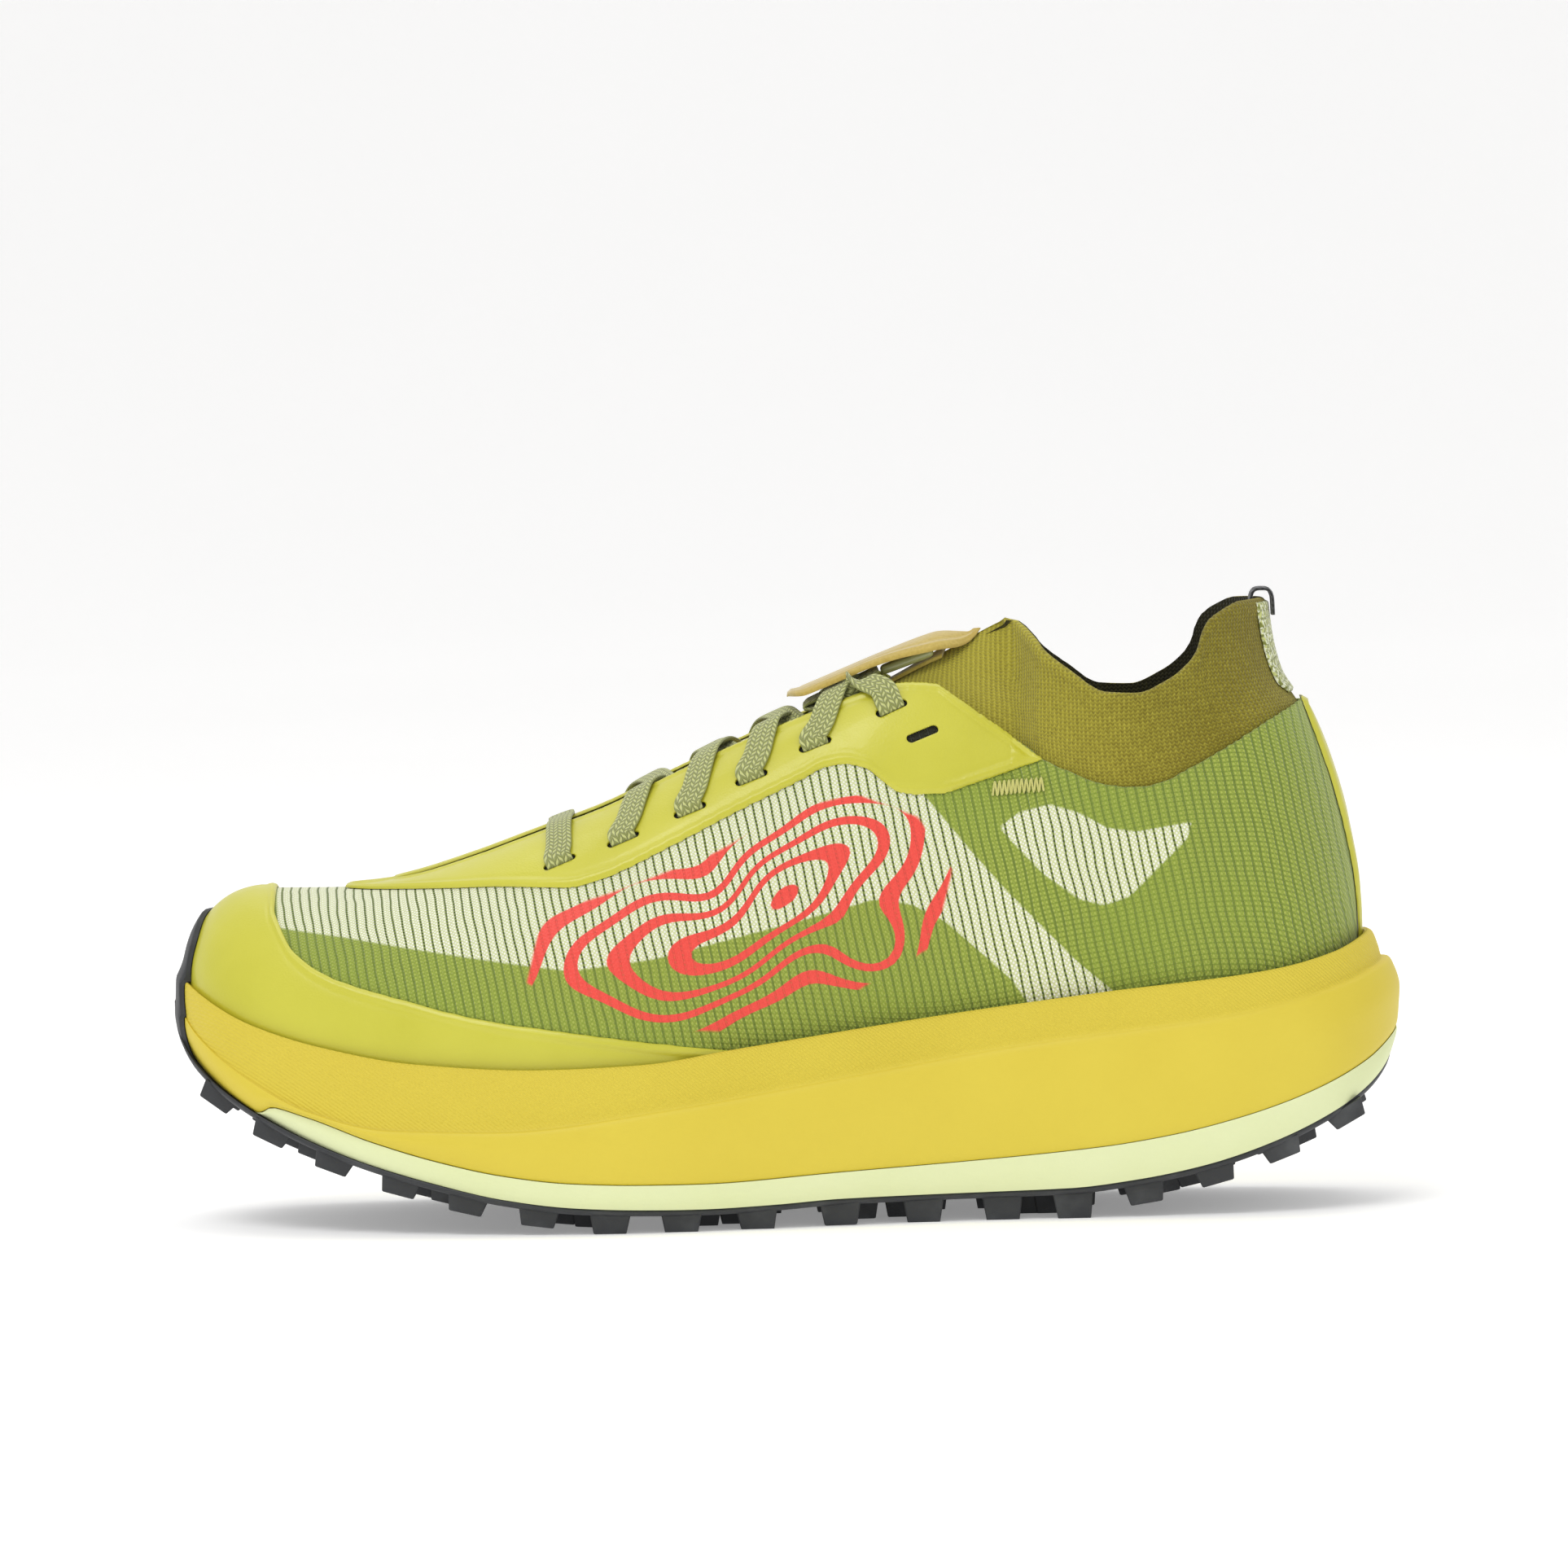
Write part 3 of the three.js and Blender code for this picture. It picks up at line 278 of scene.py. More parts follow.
def mesh_material():
    """Engineered mesh: leaning ribs with open stitches between them, pale zones, and the print."""
    material, g = new_material("upper_mesh_weave", 0.8, sheen=0.25)
    x, y, z = g.object_axes()
    rows = g.add(z, g.mul(g.math("ABSOLUTE", y), -1))
    warp = g.mul(g.add(g.noise(90, 2), -0.5), 1.1)
    s = g.add(x, g.mul(z, 0.2), warp)
    t = g.add(rows, g.mul(x, -0.12), g.mul(warp, 0.6))
    rib = g.wave(s, RIB_SPACING)
    strand = g.wave(s, RIB_SPACING / 2)
    course = g.wave(t, ROW_SPACING)
    twist_a = g.wave(g.add(g.mul(s, 1.2), t), ROW_SPACING)
    twist_b = g.wave(g.add(g.mul(s, 1.2), g.mul(t, -1)), ROW_SPACING)
    line = g.step(rib, 0.84, 0.97)
    knots = g.mul(twist_a, twist_b)
    hole = g.mul(line, g.step(g.wave(g.add(t, g.mul(s, 0.3)), ROW_SPACING), 0.35, 0.7))
    pale = g.step(g.attribute("pale"), -0.35, 0.35)
    heel = g.step(g.attribute("heel"), 0, 1)
    fuzz = g.noise(2600, 2)
    speck = g.step(g.add(g.mul(knots, 0.9), g.mul(fuzz, 0.4)), 0.28, 0.6)
    white = g.blend(speck, srgb(208, 214, 160), srgb(246, 246, 234))
    white = g.blend(line, white, srgb(126, 144, 54))
    # The open stitches of the pale zones are painted dark olive: painted shade seen through them.
    white = g.blend(hole, white, srgb(60, 76, 14))
    green = g.blend(speck, srgb(142, 158, 56), srgb(170, 182, 82))
    green = g.blend(g.mul(line, 0.85), green, srgb(106, 128, 34))
    net = g.mul(g.step(course, 0.72, 0.97), g.add(g.mul(heel, 0.35), 0.35))
    green = g.blend(net, green, srgb(112, 132, 36))
    shade = g.noise(22, 2)
    green = g.blend(g.mul(g.step(shade, 0.35, 0.7), 0.3), green, srgb(138, 160, 48))
    cloth = g.blend(pale, green, white)
    # The mesh inside each lace slot's opening is painted near black: painted shade in the slot.
    cloth = g.blend(g.step(g.attribute("slot_shade"), -0.2, 0.3), cloth, srgb(28, 30, 12))
    level = g.wave(g.attribute("contour"), 0.2)
    print_mask = g.mul(g.step(level, 0.66, 0.74), g.step(g.attribute("printed"), -0.3, 0.6))
    worn = g.step(g.add(g.mul(hole, 0.55), g.mul(fuzz, 0.35)), 0.6, 0.95)
    red = g.blend(fuzz, srgb(226, 52, 44), srgb(246, 84, 68))
    print_mask = g.mul(print_mask, g.add(1, g.mul(worn, -0.55)))
    g.color(g.blend(print_mask, cloth, red))
    g.roughness(g.add(0.85, g.mul(print_mask, -0.35)))
    relief = g.add(g.mul(line, -1), g.mul(knots, 0.5), g.mul(course, 0.25), g.mul(strand, 0.2))
    g.bump(g.add(g.mul(relief, g.add(1, g.mul(print_mask, -0.6))), g.mul(print_mask, 0.4)), 0.28)
    g.bump(fuzz, 0.05)
    return material


def knit_material(name, light, dark, rib=1.25, row=0.95):
    """Heathered rib knit: vertical ribs, slanted stitches, yarn that varies in tone, painted shade in the
    furrows and, where a part carries it, painted light.
    """
    material, g = new_material(name, 0.9, sheen=0.08)
    u, v = g.uv()
    warp = g.mul(g.add(g.noise(60, 2), -0.5), 1.5)
    u = g.add(u, warp)
    ribs = g.wave(u, rib)
    slant = g.mul(g.math("PINGPONG", g.math("ABSOLUTE", u), rib / 2), 0.9)
    stitch = g.wave(g.add(v, slant), row)
    heather = g.noise(1500, 2, stretch=(1, 1, 0.6))
    patch = g.noise(46, 3)
    yarn = g.add(g.mul(heather, 0.55), g.mul(patch, 0.35), g.mul(stitch, 0.22))
    # Painted light: the knit's tone is raised toward the tongue and lowered toward the heel.
    tone = g.add(yarn, g.mul(g.attribute("painted_front_light"), 0.55))
    # The furrows between the ribs are painted darker: painted shade.
    furrow_shade = g.mul(g.add(1, g.mul(ribs, -1)), 0.45)
    g.color(g.blend(furrow_shade, g.blend(g.step(tone, 0.3, 0.95), dark, light), dark))
    g.bump(g.add(g.mul(ribs, 0.7), g.mul(stitch, 0.5)), 0.32)
    g.bump(g.noise(2600, 2), 0.06)
    return material


def woven_material(name, light, dark, period=1.5, columns=6.0, fleck=None):
    """Flat woven tape: columns of slanted yarn along u, in millimetres, with v from 0 to 1 across."""
    material, g = new_material(name, 0.8, sheen=0.35)
    u, v = g.uv()
    across = g.mul(v, columns)
    column = g.math("FLOOR", across)
    inside = g.math("FRACT", across)
    sign = g.add(g.mul(g.math("MODULO", column, 2), 2), -1)
    yarn = g.wave(g.add(u, g.mul(sign, inside, period * 0.75)), period)
    hump = g.math("SINE", g.mul(inside, math.pi))
    body = g.mul(g.step(yarn, 0.05, 0.75), g.step(hump, 0.0, 0.6))
    tone = g.noise(900, 2)
    # The gaps between the yarns are painted darker as painted shade, over a random tone.
    shade = g.add(g.mul(body, 0.75), g.mul(tone, 0.4))
    colour = g.blend(g.step(shade, 0.1, 0.95), dark, light)
    if fleck:
        colour = g.blend(g.step(g.noise(1100, 1), 0.52, 0.6), colour, fleck)
    g.color(colour)
    g.bump(body, 0.3)
    g.bump(g.noise(3000, 2), 0.04)
    return material


def suede_material(name, light, dark):
    material, g = new_material(name, 0.85, sheen=0.6)
    nap = g.noise(1400, 4)
    g.color(g.blend(g.step(g.add(g.mul(nap, 0.6), g.mul(g.noise(70, 3), 0.5)), 0.3, 0.8), dark, light))
    g.bump(nap, 0.08)
    g.bump(g.noise(220, 3), 0.1)
    return material


def rubber_material(name, base, scuff):
    material, g = new_material(name, 0.55)
    wear = g.noise(90, 5)
    g.color(g.blend(g.step(wear, 0.45, 0.8), base, scuff))
    g.bump(g.noise(1700, 3), 0.05)
    g.bump(wear, 0.12)
    g.roughness(g.add(g.mul(wear, 0.3), 0.4))
    return material


def plain_cloth(name, light, dark):
    """Board, foam and other inner layers: a fine non-woven grain."""
    material, g = new_material(name, 0.9, sheen=0.2)
    fibre = g.noise(1300, 4)
    g.color(g.blend(g.step(fibre, 0.3, 0.7), dark, light))
    g.bump(fibre, 0.08)
    g.bump(g.noise(200, 2), 0.1)
    return material


# ---------------------------------------------------------------- curves shared by the shapes


def curve(points):
    """A smooth curve without overshoot through [x, value] points."""
    xs, ys = np.array(points, float).T
    h = np.diff(xs)
    d = np.diff(ys) / h
    t = np.empty(len(xs))
    t[0], t[-1] = d[0], d[-1]
    product = d[:-1] * d[1:]
    total = np.where(np.abs(d[:-1] + d[1:]) < 1e-12, 1, d[:-1] + d[1:])
    t[1:-1] = np.where(product > 0, 2 * product / total, 0)

    def at(x):
        x = np.clip(np.asarray(x, float), xs[0], xs[-1])
        i = np.clip(np.searchsorted(xs, x, side="right") - 1, 0, len(h) - 1)
        s = (x - xs[i]) / h[i]
        return (
            ys[i] * (2 * s**3 - 3 * s**2 + 1)
            + ys[i + 1] * (3 * s**2 - 2 * s**3)
            + h[i] * (t[i] * (s**3 - 2 * s**2 + s) + t[i + 1] * (s**3 - s**2))
        )

    return at


def smooth(x, low, high):
    s = np.clip((np.asarray(x, float) - low) / (high - low), 0, 1)
    return s * s * (3 - 2 * s)


def mix(a, b, t):
    return a + (b - a) * t


def rounded(distance, radius):
    """The height, from 0 to 1, of a quarter-round edge at a distance from it."""
    return np.sqrt(np.clip(1 - (1 - np.clip(distance / radius, 0, 1)) ** 2, 0, 1))


TOE_X, HEEL_X, GAP, RIM_INSET, RUBBER = -147.7, 149.3, 0.3, 8, 1.5
UPPER_TOE_X, UPPER_HEEL_X, UPPER_INSET = -144.9, 139.4, 9.7
COLLAR_FRONT_X, COLLAR_BACK_X, COLLAR_HALF = 55.4, 119.4, 28

half_width = curve(
    [
        (0, 82), (0.07, 76), (0.17, 66), (0.3, 60), (0.37, 56.5), (0.5, 47), (0.64, 41.8), (0.77, 48.7),
        (0.89, 64), (0.955, 76), (1, 84),
    ]
)
centre_line = curve(
    [(0, 9), (0.07, 8), (0.17, 4.2), (0.3, 0.3), (0.37, -1.2), (0.5, -2.8), (0.64, -2), (1, 0.5)]
)
sole_bottom = curve(
    [
        (-149.3, 58), (-149, 53.5), (-148.2, 48.5), (-146.1, 44), (-142.8, 39.6), (-132, 31.3),
        (-116.4, 23.2), (-100.5, 17), (-84.6, 12.4), (-68.7, 8.7), (-52, 6.5), (-36, 5.7), (-20, 5.4),
        (-4, 5.8), (12, 6.6), (45, 6.9), (67, 7.4), (83, 9.1), (99, 12.1), (115.5, 17.1), (131.7, 24.1),
        (140, 29.2), (145, 33.8), (149.3, 41),
    ]
)
carrier_top = curve(
    [
        (-129, 29.7), (-125.5, 30.6), (-116, 28.4), (-100, 22.6), (-84.5, 18), (-68.6, 14.5),
        (-52.6, 12.5), (-36, 11.8), (-20, 11.6), (11, 13.1), (43.5, 14.7), (75.5, 17.4), (91.6, 19.8),
        (107.7, 23.5), (123.8, 28.5), (140, 35.8), (149.3, 42.6),
    ]
)
ledge = curve(
    [
        (-149.2, 55), (-142.8, 47), (-130.7, 37.9), (-115, 29.9), (-95.9, 25.7), (-70.3, 25.3),
        (-28.6, 29.8), (10, 35.5), (60, 43), (105.2, 48.3), (123.3, 51.9), (135.4, 55.1), (147, 59.5),
    ]
)
rim_top = curve(
    [
        (-148.7, 61.5), (-143, 57.4), (-130.4, 50.7), (-111.5, 45.1), (-89.2, 41.2), (-60, 39.6),
        (-34.8, 40.3), (-12.9, 43.2), (28.2, 48.5), (76.4, 54.4), (116.5, 58.7), (132.6, 62.1),
        (141.6, 65.6),
    ]
)
bed = curve(
    [
        (-147, 53), (-140, 48.5), (-120, 40), (-100, 34), (-75, 29.6), (-50, 28), (-20, 28.6), (10, 31),
        (40, 34), (70, 36.8), (100, 38.6), (125, 40), (141, 42),
    ]
)
rib_head_x = curve(
    [
        (UPPER_TOE_X, -123), (-140, -119.5), (-120, -107), (-95, -90), (-60, -59), (0, 0), (60, 60),
        (100, 93.5), (125, 110), (UPPER_HEEL_X, COLLAR_BACK_X),
    ]
)
ridge = curve(
    [
        (-123, 81.2), (-107, 80.9), (-99, 81.4), (-91, 83), (-75, 88), (-58.7, 94), (-42.6, 100),
        (-26.4, 108), (-10.2, 116), (6, 123.2), (22, 130.4), (38, 137.4), (47.4, 141.3),
        (COLLAR_FRONT_X, 144.6),
    ]
)
collar_rim = curve(
    [
        (COLLAR_FRONT_X, 144.6), (61.2, 137.6), (69.1, 131.4), (78, 126), (86, 125.6), (94, 128.6),
        (99.1, 132.1), (101.6, 135.3), (102.8, 138.8), (105, 142.4), (109.4, 145.2), (113.5, 146.8),
        (COLLAR_BACK_X, 147.2),
    ]
)
rib_side = curve([(-123, 0.78), (-95, 0.8), (-40, 0.77), (20, 0.76), (70, 0.86)])
quarter_lean = curve(
    [(0, 0), (0.12, 0), (0.35, 0.13), (0.53, 0.33), (0.69, 0.6), (0.79, 0.85), (0.89, 0.95), (1, 1)]
)
guard_edge = curve(
    [
        (-123.2, 76), (-118.4, 67.4), (-108.5, 61.2), (-92.6, 56.4), (-72.7, 51.4), (-52.8, 48.3),
        (-33, 45.3), (-12.9, 42.6),
    ]
)
stay_lower = curve(
    [
        (-100, 80.9), (-92, 81.2), (-80, 81.7), (-67, 82.2), (-52, 82), (-43, 84.1), (-27, 91.2),
        (-10.6, 99.2), (5.5, 106.6), (10.6, 109.1), (15.6, 109.8), (20.6, 108.7), (24.5, 105.6),
        (28.4, 102.9), (33.4, 102.2), (38.4, 102.3), (46.5, 104.5), (54.5, 106.9), (64, 110.2),
    ]
)
throat_half = curve([(-94, 3), (-91, 6.5), (-84, 8.6), (-60, 10.4), (-20, 12), (10, 12.6), (44, 13.5)])
top_line = curve(
    [
        (26, 131.6), (31.1, 131.6), (37.1, 128.6), (48.9, 120.4), (58.7, 113.4), (63.6, 109.9),
        (70.5, 106.7), (77.5, 104), (85.5, 103.2), (90.5, 103.9), (98.6, 107.5), (108.7, 112.9),
        (118.8, 118.5), (127.5, 122.6),
    ]
)
SLOTS = [
    (-53.6, 87.4, 24), (-38, 92.6, 22), (-21.8, 99.3, 23), (-6.9, 106.7, 24), (8.6, 114.2, 23),
    (26.9, 122.4, 31),
]
SPARE_SLOT = (34.1, 116.3, 25)


def ridge_y(x):
    return 0.8 * centre_line((np.asarray(x, float) - TOE_X) / (HEEL_X - TOE_X))


# ---------------------------------------------------------------- meshes from grids


def make_object(name, points, faces, uv=None, material=None, attributes=None, flat_angle=40):
    mesh = bpy.data.meshes.new(name)
    mesh.from_pydata((np.asarray(points) * MM).tolist(), [], [tuple(int(i) for i in f) for f in faces])
    if uv is not None:
        layer = mesh.uv_layers.new(name="UVMap")
        index = np.empty(len(mesh.loops), np.int32)
        mesh.loops.foreach_get("vertex_index", index)
        layer.data.foreach_set("uv", np.asarray(uv, np.float32)[index].ravel())
    for key, values in (attributes or {}).items():
        mesh.attributes.new(key, "FLOAT", "POINT").data.foreach_set(
            "value", np.asarray(values, np.float32),
        )
    obj = bpy.data.objects.new(name, mesh)
    bpy.context.scene.collection.objects.link(obj)
    mesh.polygons.foreach_set("use_smooth", [True] * len(mesh.polygons))
    if flat_angle:
        bpy.context.view_layer.objects.active = obj
        obj.select_set(True)
        bpy.ops.object.shade_smooth_by_angle(angle=math.radians(flat_angle))
        obj.select_set(False)
    if material:
        mesh.materials.append(material)
    return obj


def place(obj, body, nodes, slot):
    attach(obj, body)
    if nodes:
        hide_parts(*nodes)
    return obj


def grid_faces(rows, columns, wrap=False, start=0, flip=False):
    i, j = np.meshgrid(np.arange(rows - 1), np.arange(columns if wrap else columns - 1), indexing="ij")
    k = (j + 1) % columns
    quads = np.stack([i * columns + j, i * columns + k, (i + 1) * columns + k, (i + 1) * columns + j], -1)
    quads = quads.reshape(-1, 4) + start
    return quads[:, ::-1] if flip else quads


STATIONS = 150


def ring(front, back, inset, height):
    """One foot-shaped ring: its ends, how far it lies inside the widest outline, and its height by x."""
    angle = np.arange(2 * STATIONS) * math.pi / STATIONS
    fraction = (1 - np.cos(angle)) / 2
    x = mix(front, back, fraction)
    y = centre_line(fraction) - np.sin(angle) * (half_width(fraction) - inset)
    return np.stack([x, y, height(x)], -1)


def ring_solid(rings, steps=3, sharp=()):
    """Points and faces of a closed solid through rings, rounded between them except at the sharp ones."""
    rings = [np.asarray(r) for r in rings]
    dense, levels = [], []
    for i in range(len(rings) - 1):
        a, b = rings[i], rings[i + 1]
        before = rings[i - 1] if i > 0 and i not in sharp else a
        after = rings[i + 2] if i + 2 < len(rings) and i + 1 not in sharp else b
        for k in range(steps):
            t = k / steps
            m0, m1 = (b - before) / 2, (after - a) / 2
            dense.append(
                (
                    2 * t**3 - 3 * t**2 + 1
                ) * a + (t**3 - 2 * t**2 + t) * m0 + (3 * t**2 - 2 * t**3) * b + (t**3 - t**2) * m1
            )
            levels.append(i + t)
    dense.append(rings[-1])
    levels.append(len(rings) - 1)
    around = 2 * STATIONS
    points = np.concatenate(dense)
    faces = grid_faces(len(dense), around, wrap=True).tolist()
    for base, flip in ((0, True), ((len(dense) - 1) * around, False)):
        for i in range(STATIONS):
            a, b = base + i, base + i + 1
            c, d = base + (around - i - 1) % around, base + (around - i) % around
            quad = [a, b, c] if d == a else ([a, b, d] if c == b else [a, b, c, d])
            faces.append(quad[::-1] if flip else quad)
    return points, faces, np.repeat(levels, around)


def foam_bottom(x):
    return mix(
        sole_bottom(x), np.maximum(carrier_top(x), sole_bottom(x)), smooth(x, -129, -124),
    ) + GAP / 2


def foam_wall():
    def level(share):
        return lambda x: mix(foam_bottom(x), ledge(x), share)

    def band(share):
        return lambda x: mix(ledge(x), rim_top(x), share)

    return [
        ring(TOE_X + 2.0, HEEL_X - 1.2, 1.9, foam_bottom),
        ring(TOE_X + 1.2, HEEL_X - 0.6, 1.1, level(0.08)),
        ring(TOE_X + 0.4, HEEL_X - 0.2, 0.4, level(0.3)),
        ring(TOE_X, HEEL_X, 0, level(0.6)),
        ring(TOE_X, HEEL_X - 1.5, 0.6, level(0.88)),
        ring(TOE_X + 0.1, HEEL_X - 2.6, 1.3, level(0.97)),
        ring(TOE_X + 0.4, HEEL_X - 4.2, 2.3, band(0.03)),
        ring(TOE_X + 0.3, HEEL_X - 5.0, 3.1, band(0.45)),
        ring(TOE_X + 0.5, HEEL_X - 6.2, 4.4, band(0.9)),
        ring(TOE_X + 1, HEEL_X - 7.4, 5.5, rim_top),
    ]


# ---------------------------------------------------------------- the upper's envelope


def rib_angle(x):
    return np.arccos(
        np.clip(1 - 2 * (np.asarray(x, float) - UPPER_TOE_X) / (UPPER_HEEL_X - UPPER_TOE_X), -1, 1)
    )


def envelope(angle, share):
    """A point of the upper. The angle is 0 at the toe, positive round the lateral side to pi at the heel and
    negative round the medial side. The share is 0 at the sole's rim and 1 at the ridge or the collar's rim."""
    angle, share = np.broadcast_arrays(np.asarray(angle, float), np.asarray(share, float))
    fraction = (1 - np.cos(angle)) / 2
    x = mix(UPPER_TOE_X, UPPER_HEEL_X, fraction)
    y = centre_line(fraction) - np.sin(angle) * (half_width(fraction) - UPPER_INSET)
    z = rim_top(x) - 0.5
    low = np.clip(-share, 0, 1)
    up = np.clip(share, 0, 1)
    head_x = rib_head_x(x)
    opened = np.clip((head_x - COLLAR_FRONT_X) / (COLLAR_BACK_X - COLLAR_FRONT_X), 0, 1)
    side = np.where(np.sin(angle) < 0, -1, 1)
    start = smooth(opened, 0, 0.1)
    head_y = ridge_y(head_x) - side * COLLAR_HALF * np.sqrt(4 * opened * (1 - opened) * start)
    head_z = np.where(opened > 0, collar_rim(head_x), ridge(head_x))
    turn = up * math.pi / 2
    vamp_in = 1 - np.power(np.maximum(0, np.cos(turn)), rib_side(head_x))
    quarter = smooth(x, 20, 84)
    inward = mix(vamp_in, quarter_lean(up), quarter)
    upward = mix(np.sin(turn), up, quarter)
    z = mix(z, bed(x) + 1, low)
    return np.stack([mix(x, head_x, inward), mix(y, head_y, inward), mix(z, head_z, upward)], -1)


def outward(angle, share):
    """The unit normal of the envelope."""
    step = 0.006
    share = np.clip(share, -1, 1)
    safe = np.minimum(share, 0.975)
    along = envelope(angle + step, safe) - envelope(angle - step, safe)
    up = envelope(angle, safe + step) - envelope(angle, safe - step)
    n = np.cross(along, up)
    n /= np.maximum(np.linalg.norm(n, axis=-1, keepdims=True), 1e-9)
    crest = smooth(share, 0.985, 1.0)[..., None] * (np.abs(np.sin(angle)) > 0)[..., None]
    x = envelope(angle, share)[..., 0]
    closed = (x < COLLAR_FRONT_X - 1)[..., None]
    flat = np.stack([n[..., 0], np.zeros_like(n[..., 1]), n[..., 2]], -1)
    flat /= np.maximum(np.linalg.norm(flat, axis=-1, keepdims=True), 1e-9)
    return np.where(closed, mix(n, flat, crest), n)


SHARES = 1 - (1 - np.linspace(0, 1, 260)) ** 1.35


def first_share(angles, outside):
    """For each rib, the share at which it first meets a region, or 1."""
    points = envelope(angles[:, None], SHARES[None, :])
    hit = outside(points[..., 0], points[..., 1], points[..., 2])
    found = np.ones(len(angles))
    for i, row in enumerate(hit):
        if row.any():
            k = int(np.argmax(row))
            found[i] = SHARES[max(k - 1, 0)] if k == 0 else (SHARES[k - 1] + SHARES[k]) / 2
    return found


def in_throat(x, y, z):
    return (x > -94) & (x < 42) & (np.abs(y - ridge_y(x)) < throat_half(x))


def above_opening(x, y, z):
    return in_throat(x, y, z) | ((x > 30) & (z > top_line(x)))


def settle(values, passes=2):
    """Softens the steps of a sampled edge."""
    for _ in range(passes):
        values[1:-1] = (values[:-2] + 2 * values[1:-1] + values[2:]) / 4
    return values


def shell(name, outer, inner, uv, material, attributes=None, wrap=False):
    """A closed solid between two grids of points, with walls along their free edges."""
    rows, columns = outer.shape[:2]
    count = rows * columns
    faces = [grid_faces(rows, columns, wrap), grid_faces(rows, columns, wrap, start=count, flip=True)]
    j = np.arange(columns if wrap else columns - 1)
    k = (j + 1) % columns
    faces.append(np.stack([k, j, j + count, k + count], -1))
    last = (rows - 1) * columns
    faces.append(np.stack([last + j, last + k, last + k + count, last + j + count], -1))
    if not wrap:
        i = np.arange(rows - 1) * columns
        faces.append(np.stack([i, i + columns, i + columns + count, i + count], -1))
        e = i + columns - 1
        faces.append(np.stack([e + columns, e, e + count, e + columns + count], -1))
    points = np.concatenate([outer.reshape(-1, 3), inner.reshape(-1, 3)])
    uv = np.tile(np.stack(uv, -1).reshape(-1, 2), (2, 1))
    return make_object(name, points, np.concatenate(faces), uv, material, attributes, flat_angle=50)


def patch(
    name, angles, low, high, rows, inner, outer, material, taper=0.7, crown=None, wrap=False, extra=None,
    power=1.3,
):
    """A closed layer of the envelope between two shares on each rib and two distances from the surface."""
    v = 1 - (1 - np.linspace(0, 1, rows)) ** power
    share = low[None, :] + (high - low)[None, :] * v[:, None]
    angle = np.broadcast_to(angles[None, :], share.shape)
    base = envelope(angle, share)
    normal = outward(angle, share)
    run = np.zeros(share.shape)
    run[1:] = np.cumsum(np.linalg.norm(np.diff(base, axis=0), axis=-1), axis=0)
    step = np.linalg.norm(np.diff(base, axis=1), axis=-1).mean(axis=0)
    along = np.broadcast_to(np.concatenate([[0], np.cumsum(step)])[None, :], share.shape)
    edge = np.minimum(run, run[-1][None, :] - run)
    if not wrap:
        edge = np.minimum(edge, np.minimum(along, along[:, -1:] - along))
    x = base[..., 0]
    far = outer(x) if callable(outer) else outer + 0 * x
    near = inner(x) if callable(inner) else inner + 0 * x
    top = near + (far - near) * (0.25 + 0.75 * rounded(edge, taper))
    if crown is not None:
        top = top + crown(edge, base)
    attributes = {key: np.tile(field(base).ravel(), 2) for key, field in (extra or {}).items()}
    outer_points, inner_points = base + normal * top[..., None], base + normal * near[..., None]
    return shell(name, outer_points, inner_points, (along, run), material, attributes, wrap)


def surface_at(x, side, share, height=0.0):
    angle = side * float(rib_angle(x))
    return envelope(angle, share) + outward(np.array(angle), np.array(share)) * height


def frame_at(place_, side):
    """The frame of a side-view place [x, z, tilt]: here side is 1 for lateral and -1 for medial."""
    x, z, tilt = place_
    low, high = 0.0, 1.0
    for _ in range(26):
        middle = (low + high) / 2
        if surface_at(x, side, middle)[2] < z:
            low = middle
        else:
            high = middle
    point = surface_at(x, side, low)
    out = outward(np.array(side * float(rib_angle(x))), np.array(low))
    angle = math.radians(tilt)
    along = np.array([math.cos(angle), 0, math.sin(angle)])
    along -= out * along.dot(out)
    along /= np.linalg.norm(along)
    inward = np.cross(along, out) * -side
    return {"x": x, "share": low, "point": point, "out": out, "along": along, "inward": inward}


# ---------------------------------------------------------------- sole


def combine(parts):
    """Joins (points, faces) sets into one set."""
    points, faces, base = [], [], 0
    for p, f in parts:
        points.append(np.asarray(p, float))
        faces.extend([tuple(int(k) + base for k in face) for face in f])
        base += len(p)
    return np.concatenate(points), faces


def carrier_rings():
    def under(x):
        return sole_bottom(x) + GAP / 2

    def over(x):
        return np.maximum(foam_bottom(x) - GAP / 2, under(x) + 0.05)

    def cut_front(front, back, inset, height):
        """A ring flush with the foam's wall, ended square where the foam comes down to the rubber."""
        points = ring(front, back, inset, height)
        points[:, 0] = np.maximum(points[:, 0], -128.6)
        points[:, 2] = height(points[:, 0])
        return points

    return [
        cut_front(TOE_X + 2.6, HEEL_X - 2.0, 2.8, under),
        cut_front(TOE_X + 1.8, HEEL_X - 1.2, 1.9, lambda x: mix(under(x), over(x), 0.25)),
        cut_front(TOE_X + 1.4, HEEL_X - 0.8, 1.4, lambda x: mix(under(x), over(x), 0.6)),
        cut_front(TOE_X + 1.5, HEEL_X - 0.9, 1.5, over),
    ]


